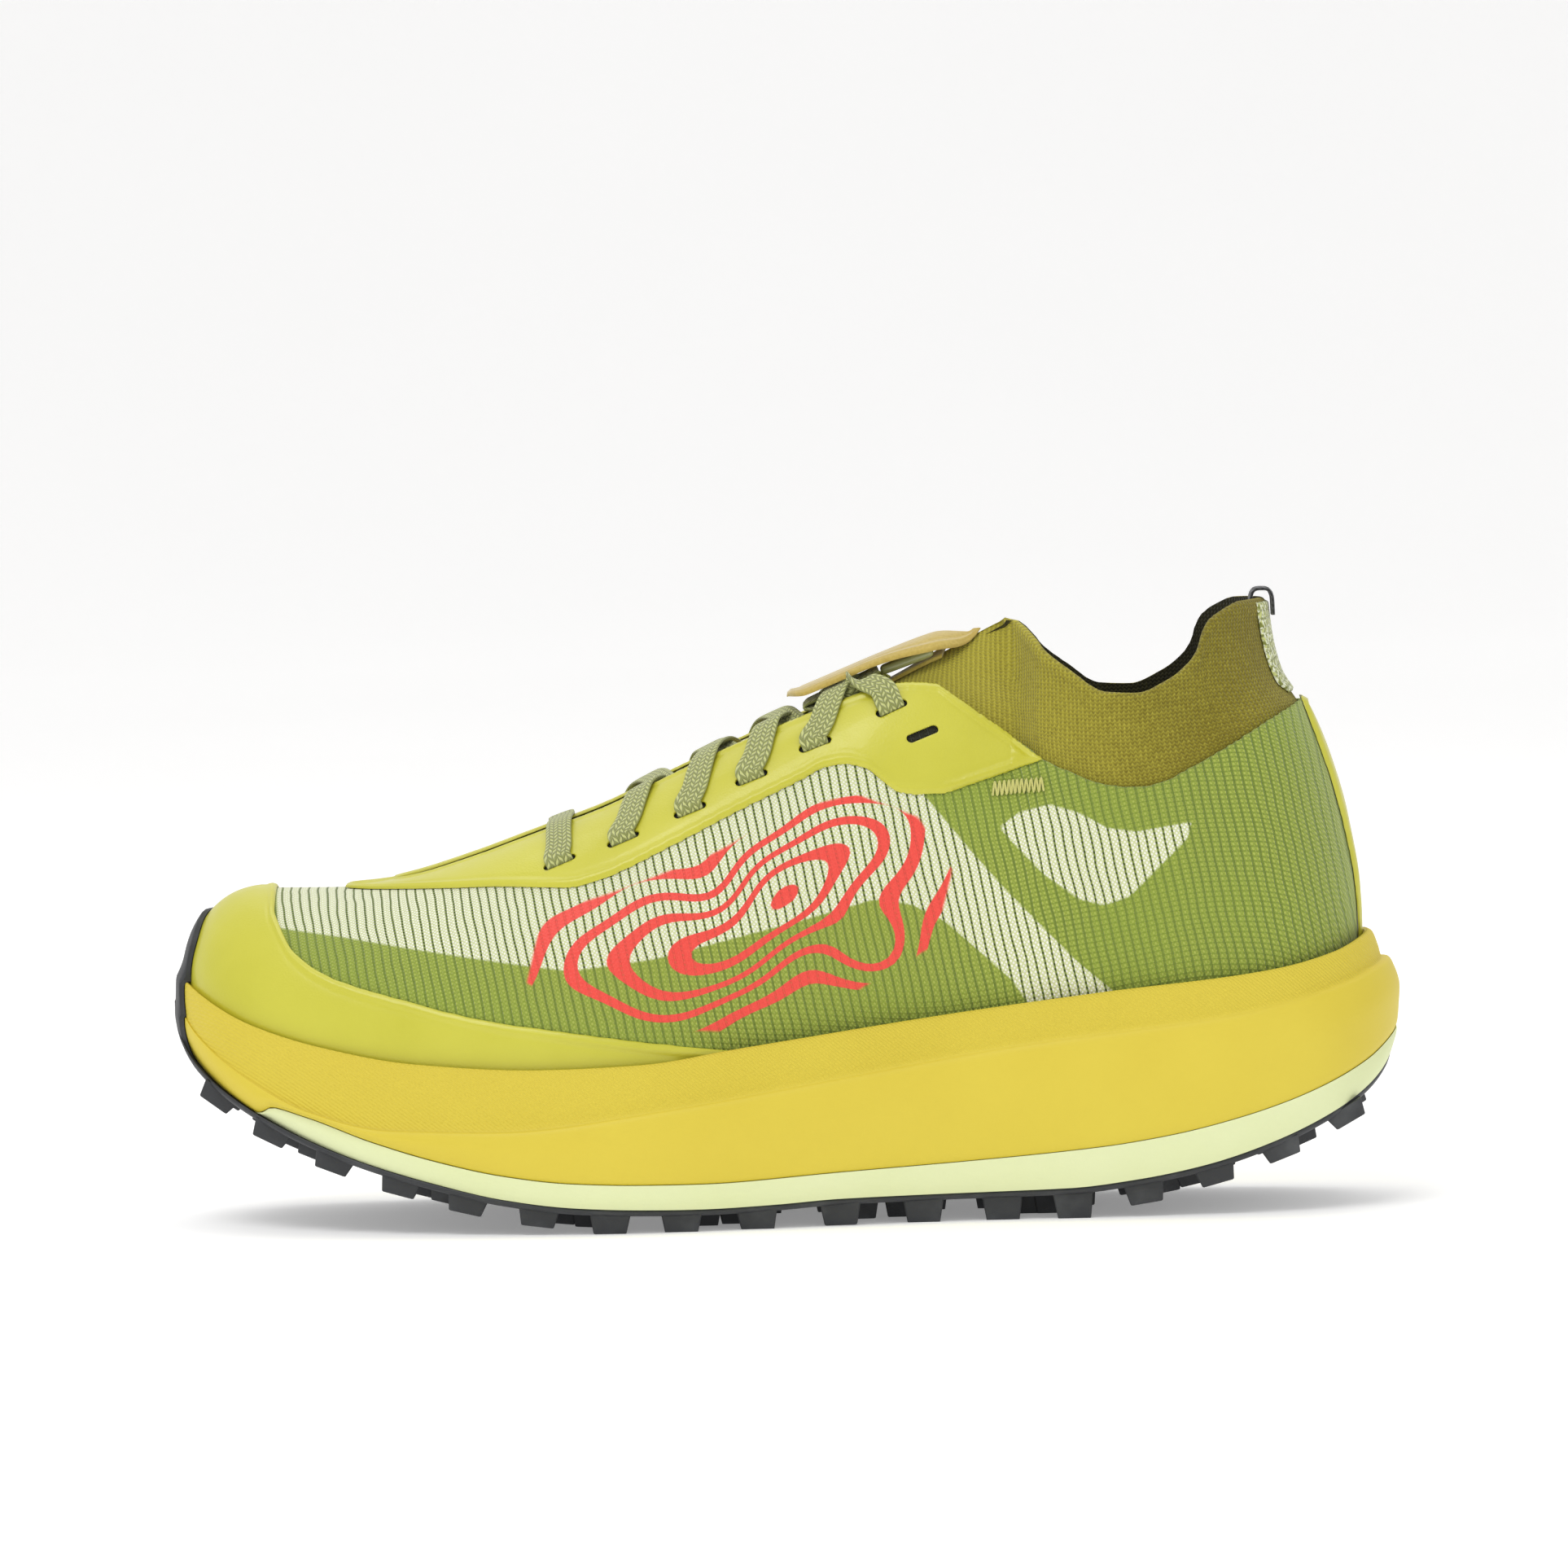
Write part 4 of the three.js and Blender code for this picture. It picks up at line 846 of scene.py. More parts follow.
def build_sole():
    wall = foam_wall()
    rings = wall + [
        ring(TOE_X + 1.9, HEEL_X - 8.2, 7.4, lambda x: rim_top(x) - 0.1),
        ring(TOE_X + 2.4, HEEL_X - 8.6, 8.2, lambda x: np.maximum(bed(x) + 1, rim_top(x) - 6)),
        ring(TOE_X + 2.6, HEEL_X - 9, 8.6, bed),
    ]
    points, faces, level = ring_solid(rings, 4, sharp=(len(wall) - 1, len(wall), len(wall) + 1))
    band = smooth(level, 5.6, 6.3) * (1 - smooth(level, 9.0, 9.6))
    yellow = foam_material("foam_yellow_skin", srgb(222, 202, 66), srgb(214, 192, 54), True)
    foam = make_object("foam_shell", points, faces, None, yellow, {"band": band}, 60)
    place(foam, "shoe", ["midsole_foam"], "yellow_foam")

    points, faces, _ = ring_solid(carrier_rings(), 4)
    pale = foam_material("foam_pale_skin", srgb(228, 234, 188), srgb(220, 228, 172), False)
    place(
        make_object("carrier_shell", points, faces, None, pale), "shoe", ["midsole_carrier"], "pale_foam",
    )

    points, faces, _ = ring_solid(
        [
            ring(
                TOE_X + 5.6, HEEL_X - 12.8, RIM_INSET + 3.6, lambda x, r=r: bed(x) + r,
            ) for r in (0.3, 1.4)
        ],
        1,
    )
    board = plain_cloth("board_fibre", srgb(222, 218, 205), srgb(190, 184, 168))
    place(make_object("strobel_sheet", points, faces, None, board), "shoe", ["strobel_board"], "board")

    def cup(x):
        return mix(0.5, 5, smooth(x, 40, 120)) + 2 * smooth(x, -120, -140)

    insole_rings = [
        ring(TOE_X + 10.5, HEEL_X - 19, RIM_INSET + 8, lambda x: bed(x) + 1.9),
        ring(TOE_X + 9, HEEL_X - 17.4, RIM_INSET + 6.4, lambda x: bed(x) + 3.9),
        ring(TOE_X + 9, HEEL_X - 17.4, RIM_INSET + 6.4, lambda x: bed(x) + 5.5 + cup(x)),
        ring(TOE_X + 10.4, HEEL_X - 18.8, RIM_INSET + 7.8, lambda x: bed(x) + 5.9 + cup(x)),
        ring(TOE_X + 17, HEEL_X - 27, RIM_INSET + 14, lambda x: bed(x) + 5.9),
    ]
    points, faces, _ = ring_solid(insole_rings, 3)
    cloth = knit_material("insole_cover", srgb(112, 116, 44), srgb(64, 68, 20), 1.6, 1.6)
    sock = make_object("insole_pad", points, faces, points[:, :2], cloth)
    place(sock, "insole", ["insole"], "insole_foam")
    return foam


LUG_ROWS = [-137, -124, -109, -93, -77, -60, -43, -26, -8, 12, 32, 51, 68, 85, 102, 118, 134]
lug_depth = curve(
    [
        (-140, 3.4), (-60, 3.8), (-40, 4.6), (-10, 4.8), (20, 5), (45, 5.9), (65, 6.4), (80, 5),
        (100, 3.8), (140, 3),
    ]
)


def lug(x, y, width, length):
    """A tapered block with rounded edges, its foot square to the sheet."""
    depth = float(lug_depth(x)) + 1
    bm = bmesh.new()
    bmesh.ops.create_cube(bm, size=1)
    bmesh.ops.bevel(bm, geom=bm.edges[:], offset=0.075, segments=3, profile=0.6, affect="EDGES")
    points = np.array([v.co[:] for v in bm.verts])
    faces = [[v.index for v in f.verts] for f in bm.faces]
    bm.free()
    down = 0.5 - points[:, 2]
    narrow = mix(1, 0.78, down)
    points = np.stack(
        [points[:, 0] * length * narrow, points[:, 1] * width * narrow, -down * depth + 0.9], -1,
    )
    slope = math.atan2(float(sole_bottom(x + 2) - sole_bottom(x - 2)), 4)
    c, s = math.cos(slope), math.sin(slope)
    turned = np.stack(
        [points[:, 0] * c - points[:, 2] * s, points[:, 1], points[:, 0] * s + points[:, 2] * c], -1,
    )
    turned += (x, y, float(sole_bottom(x)) - RUBBER)
    turned[:, 2] = np.maximum(turned[:, 2], 0.02)
    return turned, faces


def toe_bumper(solids):
    """The rubber that rises over the tip of the toe, lying on the foam and the toe guard."""
    trees = [BVHTree.FromObject(o, bpy.context.evaluated_depsgraph_get()) for o in solids]
    low_side = curve([(30, -9), (46, -4), (60, -1), (76.5, 1)])
    high_side = curve([(30, 48), (46, 41), (60, 33), (76.5, 26)])
    rows, columns = 70, 80
    z = np.linspace(33, 75.9, rows)
    tip = rounded(76 - z, 9)
    middle = (low_side(z) + high_side(z)) / 2
    half = (high_side(z) - low_side(z)) / 2 * np.maximum(tip, 0.12)
    y = middle[:, None] + half[:, None] * np.linspace(-1, 1, columns)[None, :]
    x = np.full(y.shape, -100.0)
    for i in range(rows):
        for j in range(columns):
            start = Vector((-200, y[i, j], z[i])) * MM
            for tree in trees:
                hit = tree.ray_cast(start, Vector((1, 0, 0)))[0]
                if hit:
                    x[i, j] = min(x[i, j], hit.x / MM)
    eased = x.copy()
    for _ in range(40):
        inner = (eased[:-2, 1:-1] + eased[2:, 1:-1] + eased[1:-1, :-2] + eased[1:-1, 2:]) / 4
        eased[1:-1, 1:-1] = np.minimum(inner, x[1:-1, 1:-1])
    zz = np.broadcast_to(z[:, None], y.shape)
    base = np.stack([eased, y, zz], -1)
    du, dv = np.gradient(base, axis=1), np.gradient(base, axis=0)
    normal = np.cross(dv, du)
    normal /= np.linalg.norm(normal, axis=-1, keepdims=True)
    normal *= np.where(normal[..., :1] > 0, -1, 1)
    edge = np.minimum(
        np.minimum(np.arange(columns)[None, :], np.arange(columns)[::-1][None, :]) * 0.8,
        (75.9 - zz) * 0.9,
    )
    outer = base + normal * (0.25 + 1.15 * rounded(edge, 1.4))[..., None]
    inner = base + normal * 0.12
    count = rows * columns
    faces = [grid_faces(rows, columns, flip=True), grid_faces(rows, columns, start=count)]
    faces = np.concatenate(faces)
    return np.concatenate([outer.reshape(-1, 3), inner.reshape(-1, 3)]), faces


def build_outsole(solids):
    sheet, faces, _ = ring_solid(
        [
            ring(TOE_X - 0.6, HEEL_X - 3.6, 4.6, lambda x: sole_bottom(x) - RUBBER),
            ring(TOE_X - 1.3, HEEL_X - 2.7, 3.6, lambda x: sole_bottom(x) - RUBBER * 0.7),
            ring(TOE_X - 1.4, HEEL_X - 2.4, 3.3, lambda x: sole_bottom(x) - RUBBER * 0.3),
            ring(TOE_X - 1.3, HEEL_X - 2.5, 3.5, sole_bottom),
        ],
        3,
    )
    parts = [(sheet, faces)]
    for row, x in enumerate(LUG_ROWS):
        fraction = (x - TOE_X) / (HEEL_X - TOE_X)
        half = float(half_width(fraction) - 4) * 2 * math.sqrt(fraction * (1 - fraction))
        middle = float(centre_line(fraction))
        for side in (-1, 1):
            parts.append(lug(x, middle + side * (half - 6), 10.5, 10))
            if half > 33:
                parts.append(lug(x + (5 if row % 2 else -5), middle + side * (half - 20), 10, 9))
        if half > 20:
            parts.append(lug(x + (-2 if row % 2 else 2), middle, 12, 9))
    parts.append(toe_bumper(solids))
    points, faces = combine(parts)
    rubber = rubber_material("outsole_rubber", srgb(44, 46, 49), srgb(74, 76, 78))
    place(
        make_object("outsole_rubber_shell", points, faces, None, rubber, flat_angle=35), "shoe",
        ["outsole"], "black_rubber",
    )


# ---------------------------------------------------------------- upper layers


def signed_distance(x, z, polygon):
    """Distance to a side-view outline, positive inside."""
    polygon = np.asarray(polygon, float)
    nearest = np.full(x.shape, 1e9)
    inside = np.zeros(x.shape, bool)
    for a, b in zip(polygon, np.roll(polygon, -1, axis=0)):
        d = b - a
        t = np.clip(((x - a[0]) * d[0] + (z - a[1]) * d[1]) / (d @ d), 0, 1)
        nearest = np.minimum(nearest, np.hypot(x - a[0] - t * d[0], z - a[1] - t * d[1]))
        crosses = (a[1] > z) != (b[1] > z)
        with np.errstate(divide="ignore", invalid="ignore"):
            at = a[0] + (z - a[1]) * d[0] / np.where(d[1] == 0, 1e-9, d[1])
        inside ^= crosses & (x < at)
    return np.where(inside, nearest, -nearest)


PALE_VAMP = [
    (
        -122.2, 72.9,
    ), (-106.2, 70.8), (-91.3, 68.4), (-66.3, 64.7), (-51.4, 62.7), (-31.3, 65.1), (-19.3, 67.8),
    (5.9, 73.6), (22, 77.7), (30.9, 76.1), (38.8, 71.9), (46.7, 64.7), (54.5, 57.5), (59.4, 50), (80, 50),
    (
        78.5, 54.4,
    ), (70.6, 61.2), (62.8, 69.3), (53, 79.6), (45.2, 88.7), (34.5, 102), (34.5, 140), (-130, 140),
]
PALE_ANKLE = [
    (52.4, 94), (
        57.4, 97.5,
    ), (64.5, 99.3), (71.4, 97.2), (78.3, 93.4), (85.3, 92.4), (98.4, 94.5), (97.3, 90.6),
    (89.1, 82.7), (83, 76.9), (76.9, 75), (71, 76.6), (63.1, 82.3), (55.3, 90.5),
]
PRINT_AREA = [
    (
        -62, 60,
    ), (-40, 49), (-12, 47), (14, 54), (36, 66), (41, 84), (33, 97), (18, 103), (4, 100), (-16, 90),
    (-38, 82), (-58, 76),
]


def pale_zone(base):
    x, z = base[..., 0], base[..., 2]
    return np.maximum(signed_distance(x, z, PALE_VAMP), signed_distance(x, z, PALE_ANKLE))


def contour_field(base):
    """Two smooth summits whose level lines make the print."""
    x, z = base[..., 0], base[..., 2]
    rise = z - 76 - 0.38 * (x + 8) - 3.5 * np.sin(x * 0.085)
    crest = np.exp(-((rise / 17) ** 2) - ((x + 8) / 44) ** 2)
    spur = 0.42 * np.exp(-(((x - 22) / 13) ** 2 + ((z - 66) / 11) ** 2))
    saddle = -0.22 * np.exp(-(((x + 16) / 10) ** 2 + ((z - 78) / 12) ** 2))
    return crest + spur + saddle + 0.035 * np.sin(x * 0.19 + 1) * np.cos(z * 0.24)


def slot_shade_zone(base):
    """Distance inside the openings of the slots as seen from the side, where the mesh gets painted shade."""
    best = np.full(base.shape[:-1], -20.0)
    for x, z, tilt in [*SLOTS, SPARE_SLOT]:
        a = math.radians(tilt)
        dx, dz = base[..., 0] - x, base[..., 2] - z
        along = np.abs(dx * math.cos(a) + dz * math.sin(a)) - 4.6
        across = np.abs(dz * math.cos(a) - dx * math.sin(a)) - 1.7
        best = np.maximum(best, -np.maximum(along, across))
    return best


def print_zone(base):
    distance = signed_distance(base[..., 0], base[..., 2], PRINT_AREA)
    return np.where(base[..., 1] < ridge_y(base[..., 0]), distance, -20)


def around_angles(from_x, count):
    """Ribs from one on the lateral side round the heel to the one opposite."""
    start = float(rib_angle(from_x))
    return np.linspace(start, 2 * math.pi - start, count)


def weld_top(obj):
    bm = bmesh.new()
    bm.from_mesh(obj.data)
    bmesh.ops.remove_doubles(bm, verts=bm.verts[:], dist=0.12 * MM)
    bm.to_mesh(obj.data)
    bm.free()
    return obj


def film_bead(edge, base):
    """A low bead where a film's edge is pressed, and slight waviness behind it."""
    return 0.28 * np.exp(-(((edge - 1.5) / 0.55) ** 2)) - 0.12 * np.exp(-(((edge - 3.0) / 0.6) ** 2))


def build_mesh():
    angles = np.linspace(0, 2 * math.pi, 521)[:-1]
    high = first_share(angles, above_opening)
    sole = np.full(len(angles), -0.85)
    station = mix(UPPER_TOE_X, UPPER_HEEL_X, (1 - np.cos(angles)) / 2)
    is_closed = rib_head_x(station) < -95

    def flush(edge, base):
        """The vamp's top row is one cloth across the ridge, so it isn't rounded there."""
        return np.where(is_closed[None, :], 0.75 * (1 - rounded(edge, 0.7)), 0)

    cloth = mesh_material()
    extra = {
        "pale": pale_zone,
        "contour": contour_field,
        "printed": print_zone,
        "heel": lambda base: smooth(base[..., 0], 40, 75),
        "slot_shade": slot_shade_zone,
    }
    obj = patch("mesh_shell", angles, sole, high, 130, -1.0, 0.0, cloth, 0.7, flush, True, extra)
    weld_top(obj)
    return place(obj, "shoe", ["upper_mesh"], "mesh_fabric")


def guard_top(x):
    return np.where(x < -123.2, 200, guard_edge(x))


def build_films():
    film = film_material("film_skin", srgb(204, 200, 66), srgb(194, 190, 52))
    start = float(rib_angle(-13.2))
    angles = np.linspace(-start, start, 330)
    high = first_share(angles, lambda x, y, z: z > guard_top(x))
    guard = patch(
        "toe_guard_film", angles, np.full(len(angles), -0.5), settle(high), 60, 0.25, 0.95, film, 0.8,
        film_bead,
    )
    place(guard, "shoe", ["toe_guard"], "yellow_film")

    for side, tail in ((1, "lateral"), (-1, "medial")):
        near, far = float(rib_angle(-118)), float(rib_angle(72))
        angles = np.linspace(near, far, 900) if side > 0 else np.linspace(-far, -near, 900)
        low = first_share(angles, lambda x, y, z: z > stay_lower(x))
        high = first_share(angles, above_opening)
        keep = (high - low) > 0.004
        first, last = np.flatnonzero(keep)[[0, -1]]
        angles, low, high = angles[first : last + 1], low[first : last + 1], high[first : last + 1]
        high = np.maximum(high, low + 0.004)
        chosen = np.linspace(0, len(angles) - 1, 420).astype(int)
        stay = patch(
            "eyestay_film_" + tail, angles[chosen], settle(low)[chosen], high[chosen], 46, 0.25, 0.95,
            film, 0.8, film_bead,
        )
        cut_slots(stay, side)
        place(stay, "shoe", ["eyestay_" + tail], "yellow_film")
        inner = plain_cloth("backing_" + tail, srgb(210, 206, 190), srgb(180, 176, 158))
        backing = patch(
            "eyestay_backing_cloth_" + tail, angles[chosen], settle(low)[chosen], high[chosen] - 0.004,
            26, -1.8, -1.3, inner, 0.3,
        )
        place(backing, "shoe", ["eyestay_backing_" + tail], "board")

    edge = curve([(50, 139.3), (65, 139.2), (77.6, 138.3), (89.7, 136.2), (102.8, 132.9), (122.2, 126.4)])
    # The strip is a band astride the heel's middle line, narrow at the sole and wide at the collar.
    rows, columns = 90, 60
    shares = np.linspace(-0.2, 1, rows)
    grid_angle = np.zeros((rows, columns))
    for i, share in enumerate(shares):
        ribs = np.linspace(math.pi, math.pi - 1.2, 200)
        points = envelope(ribs, share)
        inside = points[:, 0] > edge(points[:, 2])
        reach = ribs[np.flatnonzero(inside)[-1]] if inside.any() else math.pi - 0.02
        grid_angle[i] = np.linspace(reach, 2 * math.pi - reach, columns)
    top = float(np.interp(123.4, envelope(math.pi, shares)[:, 2], shares))
    keep = shares <= top
    strip = band_piece("heel_strip_film", grid_angle[keep], shares[keep], 0.25, 0.95, film, film_bead)
    place(strip, "shoe", ["heel_strip"], "yellow_film")

    back = curve([(124.6, 124.2), (127, 121.3), (136, 118.2), (146.4, 116.6)])
    shares = np.linspace(0.6, 1, 120)
    heights = envelope(math.pi, shares)[:, 2]
    shares = np.linspace(
        float(np.interp(124.6, heights, shares)), float(np.interp(146.2, heights, shares)), 60,
    )
    grid_angle = np.zeros((60, 120))
    for i, share in enumerate(shares):
        ribs = np.linspace(math.pi, math.pi - 1.4, 300)
        points = envelope(ribs, share)
        inside = points[:, 0] > back(points[:, 2])
        reach = ribs[np.flatnonzero(inside)[-1]]
        grid_angle[i] = np.linspace(reach, 2 * math.pi - reach, 120)
    tape = woven_material(
        "heel_tape_weave", srgb(196, 202, 124), srgb(124, 130, 56), 1.7, 12, srgb(232, 236, 206),
    )
    web = band_piece("heel_tape", grid_angle, shares, -1.0, -0.2, tape, None, across=True)
    place(web, "shoe", ["heel_webbing"], "webbing")


def band_piece(name, grid_angle, shares, inner, outer, material, crown, across=False):
    """A closed layer whose every row has its own reach of ribs."""
    share = np.broadcast_to(shares[:, None], grid_angle.shape)
    base, normal = envelope(grid_angle, share), outward(grid_angle, share)
    along = np.zeros(share.shape)
    along[:, 1:] = np.cumsum(np.linalg.norm(np.diff(base, axis=1), axis=-1), axis=1)
    run = np.zeros(share.shape)
    run[1:] = np.cumsum(np.linalg.norm(np.diff(base, axis=0), axis=-1), axis=0)
    edge = np.minimum(np.minimum(along, along[:, -1:] - along), np.minimum(run, run[-1:] - run))
    top = inner + (outer - inner) * (0.25 + 0.75 * rounded(edge, 0.8))
    if crown:
        top = top + crown(edge, base)
    uv = (along - along[:, -1:] / 2, run / (run[-1:] if across else 1))
    return shell(name, base + normal * top[..., None], base + normal * inner, uv, material)


def cut_slots(obj, side):
    """Cuts the lace slots through a film, with round ends."""
    parts = []
    for slot in [*SLOTS, SPARE_SLOT]:
        f = frame_at(slot, side)
        outline = []
        for k in range(20):
            a = 2 * math.pi * k / 20
            shift = 3.0 if math.cos(a) > 0 else -3.0
            outline.append((math.cos(a) * 1.15 + shift, math.sin(a) * 1.15))
        across = np.cross(f["out"], f["along"])
        loops = [
            [f["point"] + f["along"] * u + across * v + f["out"] * h for u, v in outline] for h in (-3, 3)
        ]
        points = np.array(loops[0] + loops[1])
        faces = [[k, (k + 1) % 20, (k + 1) % 20 + 20, k + 20] for k in range(20)]
        faces += [list(range(19, -1, -1)), list(range(20, 40))]
        parts.append((points, faces))
    points, faces = combine(parts)
    cutter = make_object("slot_cutter", points, faces, flat_angle=None)
    modifier = obj.modifiers.new("slots", "BOOLEAN")
    modifier.operation = "DIFFERENCE"
    modifier.solver = "EXACT"
    modifier.object = cutter
    bpy.context.view_layer.update()
    graph = bpy.context.evaluated_depsgraph_get()
    result = bpy.data.meshes.new_from_object(obj.evaluated_get(graph))
    obj.modifiers.clear()
    obj.data = result
    bpy.data.objects.remove(cutter)


def knit_drop(x):
    return 3.1 * (1 - smooth(x, 18, 58))


def build_knit():
    lower = curve(
        [
            (-99, 72), (-85, 76.5), (-60, 84), (-20, 97), (8, 106), (25, 108), (50, 96), (80, 90),
            (110, 93), (150, 97),
        ]
    )
    angles = around_angles(-106, 420)
    low = first_share(angles, lambda x, y, z: (z > lower(x)) & (x > -99))
    yarn = knit_material("bootie_knit", srgb(184, 174, 58), srgb(116, 104, 12))

    def rim_roll(edge, base):
        """The collar's rim turns over on itself."""
        rim = smooth(base[..., 0], 54, 62)
        return 0.5 * rim * np.exp(-(((edge - 2.2) / 1.6) ** 2))

    # Painted light: lighter toward the tongue, darker toward the heel.
    painted_front_light = {"painted_front_light": lambda base: 0.9 * smooth(-base[..., 0], -112, -20) - 0.12}
    knit = patch(
        "bootie_knit_shell", angles, settle(low), np.ones(len(angles)), 110,
        lambda x: -2.9 - knit_drop(x), lambda x: -1.3 - knit_drop(x), yarn, 0.9, rim_roll, False, painted_front_light,
    )
    # The inner faces get a much darker copy of the knit: painted shade inside the shoe.
    knit.data.materials.append(knit_material("bootie_inside_painted_shade", srgb(70, 66, 18), srgb(34, 32, 8)))
    inside = 110 * len(angles)
    for face in knit.data.polygons:
        face.material_index = int(min(face.vertices) >= inside)
    weld_top(knit)
    place(knit, "shoe", ["knit_bootie"], "olive_knit")

    def pads(name, inner, outer, grow, material, node, slot, rows=40):
        under = curve(
            [(64 - grow, 101), (78, 92.5 - grow), (100, 86 - grow), (124, 84 - grow), (150, 84 - grow)]
        )
        over = curve(
            [
                (68, 104 + grow), (80, 101.5 + grow), (92, 101.5 + grow), (108, 109 + grow),
                (124, 116 + grow), (150, 121 + grow),
            ]
        )
        ribs = around_angles(71, 260)
        low = first_share(ribs, lambda x, y, z: z > under(x))
        high = np.maximum(first_share(ribs, lambda x, y, z: z > over(x)), low + 0.01)
        obj = patch(name, ribs, settle(low), settle(high), rows, inner, outer, material, 1.5)
        return place(obj, "shoe", [node], slot)

    pads(
            "collar_pad", -6.4, -3.2, 0, plain_cloth("pad_foam", srgb(110, 106, 60), srgb(80, 76, 40)),
            "collar_foam", "insole_foam",
        )
    pads(
        "lining_knit", -7.6, -6.7, 1.5,
        knit_material("lining_weave", srgb(92, 90, 32), srgb(46, 44, 12), 1.4, 1.4), "heel_lining",
        "olive_knit",
    )

    stiff = plain_cloth("stiffener_fibre", srgb(214, 210, 196), srgb(178, 172, 154))
    ribs = around_angles(85, 240)
    top = curve([(84, 52), (86, 68), (104, 82), (122, 87.5), (150, 89)])
    high = np.maximum(first_share(ribs, lambda x, y, z: z > top(x)), -0.2)
    place(
        patch("counter_shell", ribs, np.full(len(ribs), -0.4), settle(high), 40, -2.4, -1.3, stiff, 0.8),
        "shoe", ["heel_counter"], "board",
    )
    start = float(rib_angle(-117))
    ribs = np.linspace(-start, start, 160)
    high = first_share(ribs, lambda x, y, z: x > -114.5)
    place(
        weld_top(patch("puff_shell", ribs, np.full(len(ribs), 0.03), high, 40, -1.9, -1.3, stiff, 0.5)),
        "shoe", ["toe_puff"], "board",
    )


def ridge_piece(
    name, from_x, to_x, half, inner, outer, material, columns, body, node, slot, round_ends=4.0,
    crown=None, root=0.1,
):
    """A plate astride the ridge between two stations, with rounded free corners."""
    rows = 70
    x = np.linspace(from_x, to_x, columns)
    front, back = rounded(x - from_x, round_ends), rounded(to_x - x, root)
    reach = half(x) * np.maximum(front, 0.35) * np.maximum(back, 0.12)
    grid = np.zeros((rows, columns, 3))
    normals = np.zeros((rows, columns, 3))
    across = np.linspace(-1, 1, rows)
    # Shares as a function of the distance from the ridge, found on each side of each station.
    for j in range(columns):
        for side in (-1, 1):
            chosen = across * side <= 0
            target = np.abs(across[chosen]) * reach[j]
            shares = 1 - np.linspace(0, 1, 200) ** 1.5
            head = np.interp(x[j], HEAD_TABLE, STATION_TABLE)
            best = np.full(200, head)
            for _ in range(6):
                found = envelope(side * rib_angle(best), shares)
                best = best + (x[j] - found[:, 0]) * 0.9
            found = envelope(side * rib_angle(best), shares)
            distance = np.abs(found[:, 1] - ridge_y(x[j]))
            share = np.interp(target, distance, shares)
            station = np.interp(target, distance, best)
            angle = side * rib_angle(station)
            grid[chosen, j] = envelope(angle, share)
            normals[chosen, j] = outward(angle, share)
    run = np.zeros((rows, columns))
    run[1:] = np.cumsum(np.linalg.norm(np.diff(grid, axis=0), axis=-1), axis=0)
    along = np.broadcast_to((x - from_x)[None, :], run.shape)
    edge = np.minimum(np.minimum(run, run[-1:] - run), np.minimum(along, (to_x - from_x) - along))
    near, far = inner(grid[..., 0]), outer(grid[..., 0])
    top = near + (far - near) * (0.2 + 0.8 * rounded(edge, 0.8))
    if crown:
        top = top + crown(edge, grid)
    outer_points, inner_points = grid + normals * top[..., None], grid + normals * near[..., None]
    return place(shell(name, outer_points, inner_points, (along, run), material), body, [node], slot)


STATION_TABLE = np.linspace(UPPER_TOE_X, UPPER_HEEL_X, 900)
HEAD_TABLE = rib_head_x(STATION_TABLE)


def build_tongue():
    suede = suede_material("tongue_suede", srgb(196, 176, 84), srgb(172, 150, 58))
    flap_suede = suede_material("flap_suede", srgb(200, 176, 88), srgb(178, 152, 66))
    panel_half = curve([(-93, 1), (-86, 5.5), (-50, 6.4), (0, 6.4), (24, 5), (40, 5)])
    ridge_piece(
        "tongue_panel_suede", -92.6, 40, panel_half,
        lambda x: -1.3 - knit_drop(x) + 0.3, lambda x: -1.3 - knit_drop(x) + 1.15,
        suede, 240, "shoe", "tongue_panel", "tan_suede",
    )
    inner = curve([(3.5, 3.7), (16, 3.1), (30, 2.5), (38.5, 1.8), (47, -1.1), (49, -1.1)])
    ridge_piece(
        "flap_suede_sheet", 3.5, 49, curve([(3.5, 8.6), (8, 9.2), (30, 8), (49, 6)]),
        lambda x: inner(x), lambda x: inner(x) + 0.95 - 0.6 * smooth(x, 42, 49),
        flap_suede, 110, "flap", "lace_pocket_flap", "tan_suede", 5.0, film_bead, 16.0,
    )


# ---------------------------------------------------------------- laces and small parts

UNDER, OVER, EDGE_OVER, EDGE_UNDER, STACK = -2.75, 1.75, 2.1, -2.8, 1.45


def heelward(x, side, share):
    d = surface_at(x + 2, side, share) - surface_at(x - 2, side, share)
    return d / np.linalg.norm(d)


def down_rib(x, side, share):
    d = surface_at(x, side, share - 0.02) - surface_at(x, side, min(1, share + 0.02))
    return d / np.linalg.norm(d)


def slot_turn(slot, side):
    f = frame_at(slot, side)
    stops = [
        (1.7, UNDER), (0.6, UNDER + 0.2), (-0.2, UNDER + 1.1), (-0.2, OVER - 1.1), (0.6, OVER - 0.2),
        (1.7, OVER),
    ]
    return [(f["point"] + f["inward"] * d + f["out"] * h, f["along"]) for d, h in stops]


def crossing(start, start_side, end, end_side, heights):
    a, b = frame_at(start, start_side), frame_at(end, end_side)
    height = curve(list(zip((0.1, 0.3, 0.5, 0.7, 0.9), heights)))
    steps = []
    for t in np.arange(1, 10) / 10:
        first = t < 0.5
        share = mix((a if first else b)["share"], 1, 1 - abs(1 - 2 * t))
        x = mix(start[0], end[0], t)
        side = start_side if first else end_side
        steps.append((surface_at(x, side, share, float(height(t))), heelward(x, side, share)))
    return steps


def ridge_share(x, distance, side):
    low, high = 0.5, 1.0
    for _ in range(24):
        middle = (low + high) / 2
        if abs(surface_at(x, side, middle)[1] - float(ridge_y(x))) > distance:
            low = middle
        else:
            high = middle
    return low


